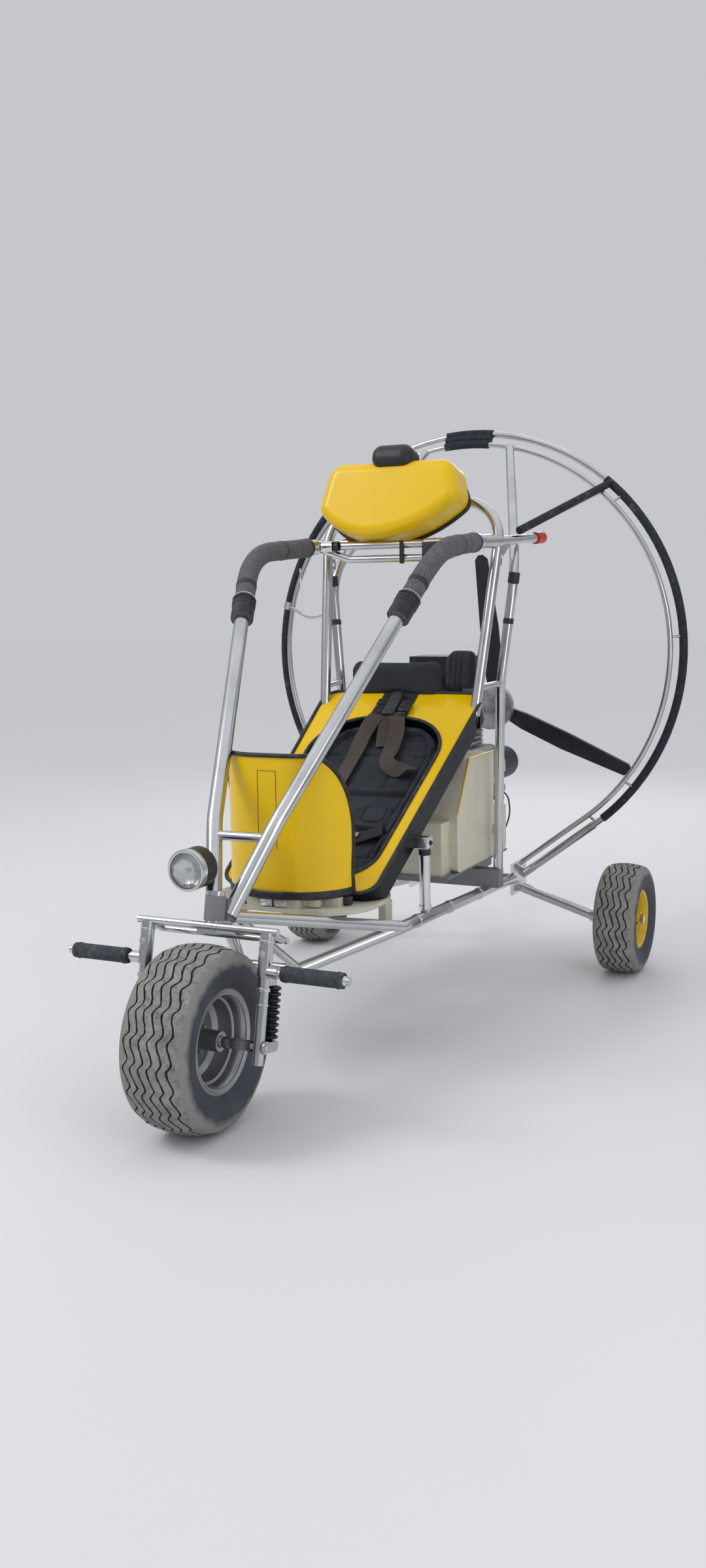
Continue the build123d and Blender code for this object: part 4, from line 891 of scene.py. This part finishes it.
def make_belts():
    """Three brown straps, a black lap belt with its buckle, and the block that they hang from."""
    bm = bmesh.new()
    up_slope = (0, cos(SEAT_LEAN), sin(SEAT_LEAN))
    for turn, points in BROWN_BELTS:
        path = smooth_points([seat_point(*point) for point in points])
        count = len(path)
        side = []
        for k in range(count):
            twist = turn * step_up(k / count, 0.35, 0.85) * sin(pi * k / count)
            side.append(Vector((cos(twist), 0.10 + 0.3 * sin(twist), 0.9 * sin(twist))))
        ribbon(bm, path, side, BROWN_BELT_WIDTH, 0.0028)
    path = smooth_points([seat_point(*point) for point in LAP_BELT])
    ribbon(bm, path, [Vector(up_slope)] * len(path), LAP_BELT_WIDTH, 0.003, 1)
    axes = ((1, 0, 0), up_slope, SEAT_UP)
    for at, size, bevel, material in BELT_BOXES:
        rounded_box(bm, seat_point(*at), axes, size, bevel, material)
    for at in (680, 694, 708, 722, 736):
        rounded_box(bm, seat_point(-38, at + 8, 9 + at % 3), axes, (32, 12, 14), 4, 1)
    piece = finish_piece("seat_belts_look", bm, "webbing black_webbing plastic dull", "frame")
    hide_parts("seat_belts")


def box_middle(node):
    """Middle of a CAD node's box in metres, and its size in millimetres."""
    low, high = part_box(node)
    return Vector([(a + b) / 2 for a, b in zip(low, high)]), [(b - a) / MM for a, b in zip(low, high)]


def make_back_pad():
    """Padded back rest with rounded upper corners, and a folded bag beside it."""
    middle, size = box_middle("back_pad")
    bm = bmesh.new()
    split = 0.90
    at = middle + Vector((-size[0] * (1 - split) / 2 * MM, 0, 0))
    rounded_box(bm, at, SQUARE, (size[0] * split - 10, size[1] - 10, size[2] - 10), 15, 0, 5)
    piece = finish_piece("back_pad_look", bm, "pad", "frame", 180)
    swell(piece, 7)
    top = middle.z + size[2] / 2 * MM
    for vert in piece.data.vertices:
        reach = abs(vert.co.x - at.x) / MM
        side = size[0] * split / 2
        drop = 26 * step_up(reach, side - 46, side)**2 * step_up(vert.co.z, middle.z, top)
        vert.co.z -= drop * MM
        vert.co.y += 1.6 * MM * noise.noise(vert.co * 14)
    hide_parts("back_pad")
    bm = bmesh.new()
    rounded_box(bm, place(*BAG_AT), SQUARE, (86, 42, 106), 18, 0, 5)
    bag = finish_piece("side_bag", bm, "pad", "frame", 180)
    swell(bag, 8)
    for vert in bag.data.vertices:
        x, z = vert.co.x / MM - BAG_AT[0], vert.co.z / MM - BAG_AT[2]
        pleat = sum(bell(x - 10 * z / 96 - at_x, 5) for at_x in (-22, -6, 9))
        front = step_up(-(vert.co.y - place(*BAG_AT).y) / MM, 0, 16)
        vert.co.y += 7 * pleat * front * MM
        vert.co.z -= (14 * step_up(-x, 14, 42) * step_up(z, 10, 46)) * MM


# Nose cowl
def cowl_x(y):
    """Half width of the cowl at a place along it."""
    behind = COWL_FRONT_Y + COWL_CORNER - y
    if behind <= 0:
        return COWL_HALF
    return COWL_HALF - COWL_CORNER + sqrt(max(COWL_CORNER**2 - behind**2, 0))


def make_cowl():
    """Yellow on the cowl, with black piping along its edges and stitched lines on its front."""
    paint("nose_cowl", yellow_look("cowl_look").material)
    edge = [(COWL_FRONT_Y + back, COWL_BOTTOM + up) for back, up in COWL_EDGE]
    curve = arc_through(edge[0], edge[1], edge[2], 14) + edge[3:]
    curve = [(min(y, COWL_BACK_Y), z) for y, z in curve]
    left = [(cowl_x(y), y, z) for y, z in curve]
    front = []
    start = COWL_FRONT_Y + 30
    for step in range(1, 40):
        angle = pi * step / 40
        x = cowl_x(start) * cos(angle)
        inner = max(abs(x) - (COWL_HALF - COWL_CORNER), 0)
        y = COWL_FRONT_Y + COWL_CORNER - sqrt(COWL_CORNER**2 - inner**2)
        front.append((x, y, COWL_TOP))
    path = list(reversed(left)) + front + [(-x, y, z) for x, y, z in left]
    bm = bmesh.new()
    tube(bm, smooth_points([place(*point) for point in path], 2), 5.5 * MM, 10)
    foot = [(cowl_x(y), y) for y in (447, 430, 410, 390, 370, 352, 340, 333, 329)]
    foot += [(20, 328), (0, 328)]
    foot = foot + [(-x, y) for x, y in reversed(foot[:-1])]
    foot_path = smooth_points([place(x, y, COWL_BOTTOM + 9) for x, y in foot], 3)
    ribbon(bm, foot_path, [Vector((0, 0, 1))] * len(foot_path), 0.020, 0.0075)
    stitch_y = COWL_FRONT_Y - 0.6
    for x, low, high in ((-30, 545, 742), (18, 560, 742)):
        tube(bm, [place(x, stitch_y, z) for z in (low, (low + high) / 2, high)], 0.0005, 6)
    tube(bm, [place(x, stitch_y, 742) for x in (-30, -6, 18)], 0.0005, 6)
    finish_piece("cowl_piping", bm, "piping", "frame")


def paint(node, material):
    """Gives a CAD node its material."""
    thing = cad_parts[node]
    for slot in thing.material_slots:
        slot.material = material
    if not thing.material_slots:
        thing.data.materials.append(material)


def paint_frame():
    """Materials of the CAD nodes that keep their shape."""
    table = dict(
        steel=("fork_crown", "fork_legs", "front_axle", "ring_rear", "ring_front", "ring_stays",
               "lower_rails", "masts", "roll_bar", "hoops", "cross_tubes", "front_frame", "rear_axles"),
        frame_grey=("steering_head", "engine_frame"),
        bright=("junction_plates",),
        rubber=("fork_springs", "throttle_cable"),
        foam=("hoop_grips",),
        peg_foam=("peg_grips",),
        ring_foam=("ring_covers",),
        red=("rear_lamps",),
        cream=("seat_supports",),
        tank=("fuel_tank",),
        casting=("engine_block", "carburettor", "propeller_hub"),
        plastic=("engine_cover", "container_cap", "headlamp_body"),
        dark_metal=("exhaust",),
        blade=("propeller_blades",),
        yellow=("top_container",),
        lens=("headlamp_lens",),
    )
    for look, nodes in table.items():
        for node in nodes:
            paint(node, LOOKS[look])


def make_container_trim():
    """Black piping along the container's back edge."""
    lean = radians(CONTAINER["lean"])
    back = Vector((0, cos(lean), -sin(lean)))
    up = Vector((0, sin(lean), cos(lean)))
    half, tall = CONTAINER["width"] / 2, CONTAINER["height"]
    left = (half, tall * CONTAINER["left_hip"])
    right = (-half, tall * CONTAINER["right_hip"])
    shoulder = half * CONTAINER["top_share"]
    steps = 12
    outline = []
    for hip_x, hip_z in (right, left):
        reach = hip_x - CONTAINER["foot_x"]
        radius = (reach**2 + hip_z**2) / (2 * hip_z)
        arc = []
        for step in range(1, steps):
            out = reach * 0.93 * step / (steps - 1)
            arc.append((CONTAINER["foot_x"] + out, radius - sqrt(radius**2 - out**2)))
        outline += list(reversed(arc)) if hip_x < 0 else arc
    rises = []
    for side, hip_z in ((1, left[1]), (-1, right[1])):
        rise = ((half - 6, hip_z - 2), (half - 8, hip_z + 22), (shoulder + 2, tall - 42),
                (shoulder - 12, tall - 10), (shoulder - 44, tall))
        rises.append([(side * x, z) for x, z in rise])
    outline += rises[0] + [(0, tall)] + list(reversed(rises[1]))
    origin = place(CONTAINER["x"], CONTAINER["y"], CONTAINER["z"]) + back * (CONTAINER["depth"] - 2) * MM
    path = smooth_points([origin + Vector((x * MM, 0, 0)) + up * z * MM for x, z in outline], 3, True)
    bm = bmesh.new()
    tube(bm, path, 0.0065, 10, 0, True)
    finish_piece("container_piping", bm, "piping", "frame")


# Lamp, fork, frame and drive details
def make_headlamp():
    """Chrome bezel, reflector bowl and ribbed glass in the lamp's black body."""
    middle, size = box_middle("headlamp_lens")
    front = middle + Vector((0, -size[1] / 2 * MM, 0))
    bm = bmesh.new()
    bezel = ((-13, 41.5), (-13, 47), (0, 47), (3.4, 45.6), (4.2, 43), (3.2, 40.6), (-2, 40))
    bowl = ((-3, 39.6), (-7, 32), (-10, 20), (-11.5, 8), (-11.5, 0), (-12.5, 0), (-12.5, 8), (-11, 21),
            (-8, 33.5), (-4, 40))
    for outline in (bezel, bowl):
        lathe(bm, outline, front, (0, -1, 0), 60)
    lathe(bm, ((-11.5, 5), (-3, 5), (-1, 3), (-1, 0), (-11.5, 0)), front, (0, -1, 0), 20)
    metal = finish_piece("headlamp_bezel", bm, "bright", "frame")
    bm = bmesh.new()
    rings = []
    for radius, along in ((39.4, -1.5), (30, 1.6), (20, 2.6), (10, 3.1), (0.5, 3.2)):
        ring = []
        for k in range(GLASS_SIDES):
            facet = 0.9 if (k // 4) % 2 else 0.0
            out = around(Vector((1, 0, 0)), Vector((0, 0, 1)), 2 * pi * k / GLASS_SIDES) * radius * MM
            ring.append(bm.verts.new(front + out + Vector((0, -(along - facet * radius / 40) * MM, 0))))
        rings.append(ring)
    skin(bm, rings)
    finish_piece("headlamp_glass", bm, "lens", "frame", 8)
    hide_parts("headlamp_lens")


def band(bm, at, heading, radius, length, material=0, edge=1.2):
    """Short sleeve round a tube, with softened ends. Millimetres, about a placed middle."""
    half = length / 2
    lathe(bm, ((-half, radius - 3), (-half, radius - edge), (-half + edge, radius), (half - edge, radius),
               (half, radius - edge), (half, radius - 3)), at, heading, 28, material)


def between(start, end, share):
    return Vector(start) + (Vector(end) - Vector(start)) * share


def band_between(bm, start, end, share, radius, length, material=0, edge=1.2):
    """Band at a share of the way between two points of the part's layout."""
    band(bm, place(*between(start, end, share)), Vector(end) - Vector(start), radius, length, material, edge)


def make_grip_details():
    """Ribbed collars and bands on the hoops, tape and sleeves on the top crossbar."""
    bm = bmesh.new()
    bar = HOOP_CORNERS[2][1:]
    for side in (1, -1):
        shin, knee, tee = ((x * side, y, z) for x, y, z in HOOP_CORNERS)
        for share, radius, length, material, edge in SHIN_BANDS:
            band_between(bm, shin, knee, share, radius, length, material, edge)
        for share, radius, length, material in KNEE_BANDS:
            band_between(bm, knee, tee, share, radius, length, material)
        for x, radius, length, material in ((206, 15.5, 34, 0), (178, 13.2, 14, 1)):
            band(bm, place(side * x, *bar), (1, 0, 0), radius, length, material)
    for x, size in ((20, (5, 27, 63)), (118, (66, 30, 52))):
        rounded_box(bm, place(x, bar[0], bar[1] - 21), SQUARE, size, 2.4, 1)
    band(bm, place(118, *bar), (1, 0, 0), 14.2, 60)
    finish_piece("grip_details", bm, "bright plastic", "frame")


def make_fork_details():
    """Bellows, leg collars, pegs' bullet ends, washers and bolts of the fork."""
    bm = bmesh.new()
    low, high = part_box("peg_grips")
    height, depth = (low[2] + high[2]) / 2, (low[1] + high[1]) / 2
    for side, end in ((-1, low[0]), (1, high[0])):
        tip = Vector((end - side * 1.5 * MM, depth, height))
        lathe(bm, ((-6, 10), (0, 11.5), (8, 10), (13, 6), (14.5, 0), (-6, 0)), tip, (side, 0, 0), 24, 0)
        for inward, length in ((132, 7), (10, 5)):
            band(bm, tip - Vector((side * inward * MM, 0, 0)), (1, 0, 0), 18.4, length, 1)
    rake = Vector((0, sin(FORK_RAKE), cos(FORK_RAKE)))
    back = Vector((0, cos(FORK_RAKE), -sin(FORK_RAKE)))
    axle = place(0, 0, FRONT_WHEEL["radius"])
    for side in (1, -1):
        foot = axle + Vector((side * LEG_X * MM, 0, 0))
        for up, radius, length in ((88, 14.6, 5), (120, 15.2, 9), (222, 17.0, 6)):
            band(bm, foot + rake * up * MM, rake, radius, length)
        bolt(bm, foot + rake * 196 * MM - back * 15.5 * MM, -back, 5.5, 0, 5)
        bolt(bm, foot + Vector((side * 12.5 * MM, 0, 0)), (side, 0, 0), 9, 0, 8)
    finish_piece("peg_details", bm, "bright plastic", "fork")
    middle = box_middle("fork_springs")[0]
    pitch = SPRING_LENGTH / SPRING_FOLDS
    outline = [(-SPRING_LENGTH / 2, 6)]
    for fold in range(SPRING_FOLDS):
        start = -SPRING_LENGTH / 2 + pitch * fold
        outline += [(start + pitch * share, radius) for share, radius in
                    ((0.08, 11), (0.24, 15.4), (0.38, 17.3), (0.62, 17.3), (0.76, 15.4), (0.92, 11))]
    outline.append((SPRING_LENGTH / 2, 6))
    bm = bmesh.new()
    for side in (1, -1):
        spring_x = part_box("fork_springs")[1 if side == 1 else 0][0] - side * SPRING_RADIUS * MM
        lathe(bm, outline, Vector((spring_x, middle.y, middle.z)), rake, 40)
    bellows = finish_piece("fork_bellows", bm, "gloss_rubber", "fork")
    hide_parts("fork_springs")


def make_frame_details():
    """Clamps, tape, gusset plates and bolts on the frame tubes."""
    bm = bmesh.new()
    for side in (1, -1):
        foot, waist, shoulder = ((x * side, y, z) for x, y, z in MAST_CORNERS)
        for start, end, share, radius, length, material in (
                (foot, waist, 0.10, 17.5, 26, 0), (foot, waist, 0.30, 15.2, 12, 1),
                (waist, shoulder, 0.55, 14.9, 16, 1), (waist, shoulder, 0.93, 16.0, 30, 1)):
            band_between(bm, start, end, share, radius, length, material)
        rail = [(x * side, y, z) for x, y, z in (RAIL_WAIST, RAIL_TAIL)]
        for y in (640, 905, 1190):
            band_between(bm, *rail, (y - RAIL_WAIST[1]) / (RAIL_TAIL[1] - RAIL_WAIST[1]), 16.6, 20)
        for z, radius, length, material in ((430, 13.6, 152, 0), (502, 15.5, 14, 1), (362, 15.5, 12, 0)):
            band(bm, place(side * POST_AT[0], POST_AT[1], z), (0, 0, 1), radius, length, material)
        rounded_box(bm, place(side * 233, POST_AT[1], 526.7), SQUARE, (40, 34, 30), 3.5)
        bolt(bm, place(side * 253, POST_AT[1], 526.7), (side, 0, 0), 4.5, 1, 5)
    for side in (1, -1):
        flat = [place(x * side, y, z) for x, y, z in GUSSET_CORNERS]
        thick = Vector((side * 3.0 * MM, -1.0 * MM, 0))
        front = [bm.verts.new(point + thick) for point in flat]
        rear = [bm.verts.new(point - thick) for point in flat]
        cap(bm, (front, rear))
        skin(bm, [front, rear])
    finish_piece("frame_details", bm, "bright plastic", "frame")


def ring_place(radius, angle):
    """Point on the propeller ring, by its angle from the top towards the left."""
    turn = radians(angle)
    return place(radius * sin(turn), RING_Y, RING_Z + radius * cos(turn))


def make_ring_details():
    """Foam on the left strut, and a clamp with two thin rods on the ring."""
    bm = bmesh.new()
    foot, end = place(*STRUT_FOOT), ring_place(RING_RADIUS, STRUT_ANGLE)
    tube(bm, [between(foot, end, share) for share in (0.04, 0.2, 0.4, 0.6, 0.8, 0.97)], 0.0115, 16, 1)
    clamp = ring_place(RING_RADIUS, CLAMP_ANGLE)
    band(bm, clamp, ring_place(RING_RADIUS, CLAMP_ANGLE + 1) - clamp, 15.0, 24)
    bolt(bm, ring_place(RING_RADIUS - 14, CLAMP_ANGLE), place(0, RING_Y, RING_Z) - clamp, 4.5, 0, 8)
    mast = place(*ROD_FOOT)
    rod = smooth_points([clamp, clamp.lerp(mast, 0.5) + Vector((0, 0, -0.03)), mast])
    tube(bm, rod, 0.0045)
    tube(bm, [ring_place(RING_RADIUS, CLAMP_ANGLE + 12), rod[5]], 0.003, 8)
    finish_piece("ring_details", bm, "bright ring_foam", "frame")


def make_drive_details():
    """Bright block and coupling at the exhaust's front, and coloured blocks under the cowl."""
    bm = bmesh.new()
    rounded_box(bm, place(98, 1659, 607), SQUARE, (38, 16, 46), 6)
    rounded_box(bm, place(74, 1659, 560), SQUARE, (22, 14, 16), 4, 1)
    coupling = ((0, 40), (3, 39), (3, 30), (5, 29), (5, 0), (0, 0))
    lathe(bm, coupling, place(62, 1664.5, 602), (0, -1, 0), 40, 1)
    for x, y, kind in ((-92, 352, 1), (-14, 346, 0), (22, 347, 2), (96, 372, 2), (152, 424, 1)):
        rounded_box(bm, place(x, y, 430.4), SQUARE, (30, 22, 19), 3, kind)
    finish_piece("drive_details", bm, "bright plastic cream", "frame")


def make_tank_trim():
    """Trim line along the tank's side edge."""
    bm = bmesh.new()
    tube(bm, [place(196.8, y, z) for y, z in ((1038, 546), (1128, 690.5), (1328, 690.5))], 0.0022, 8)
    finish_piece("tank_trim", bm, "yellow", "frame")


bpy.context.scene.view_settings.view_transform = "Standard"
make_camera()
LOOKS = make_looks()
make_surroundings()
paint_frame()
make_wheels()
make_seat_shell()
make_cushion()
make_belts()
make_back_pad()
make_cowl()
make_container_trim()
make_headlamp()
make_grip_details()
make_fork_details()
make_ring_details()
make_drive_details()
make_tank_trim()
make_frame_details()
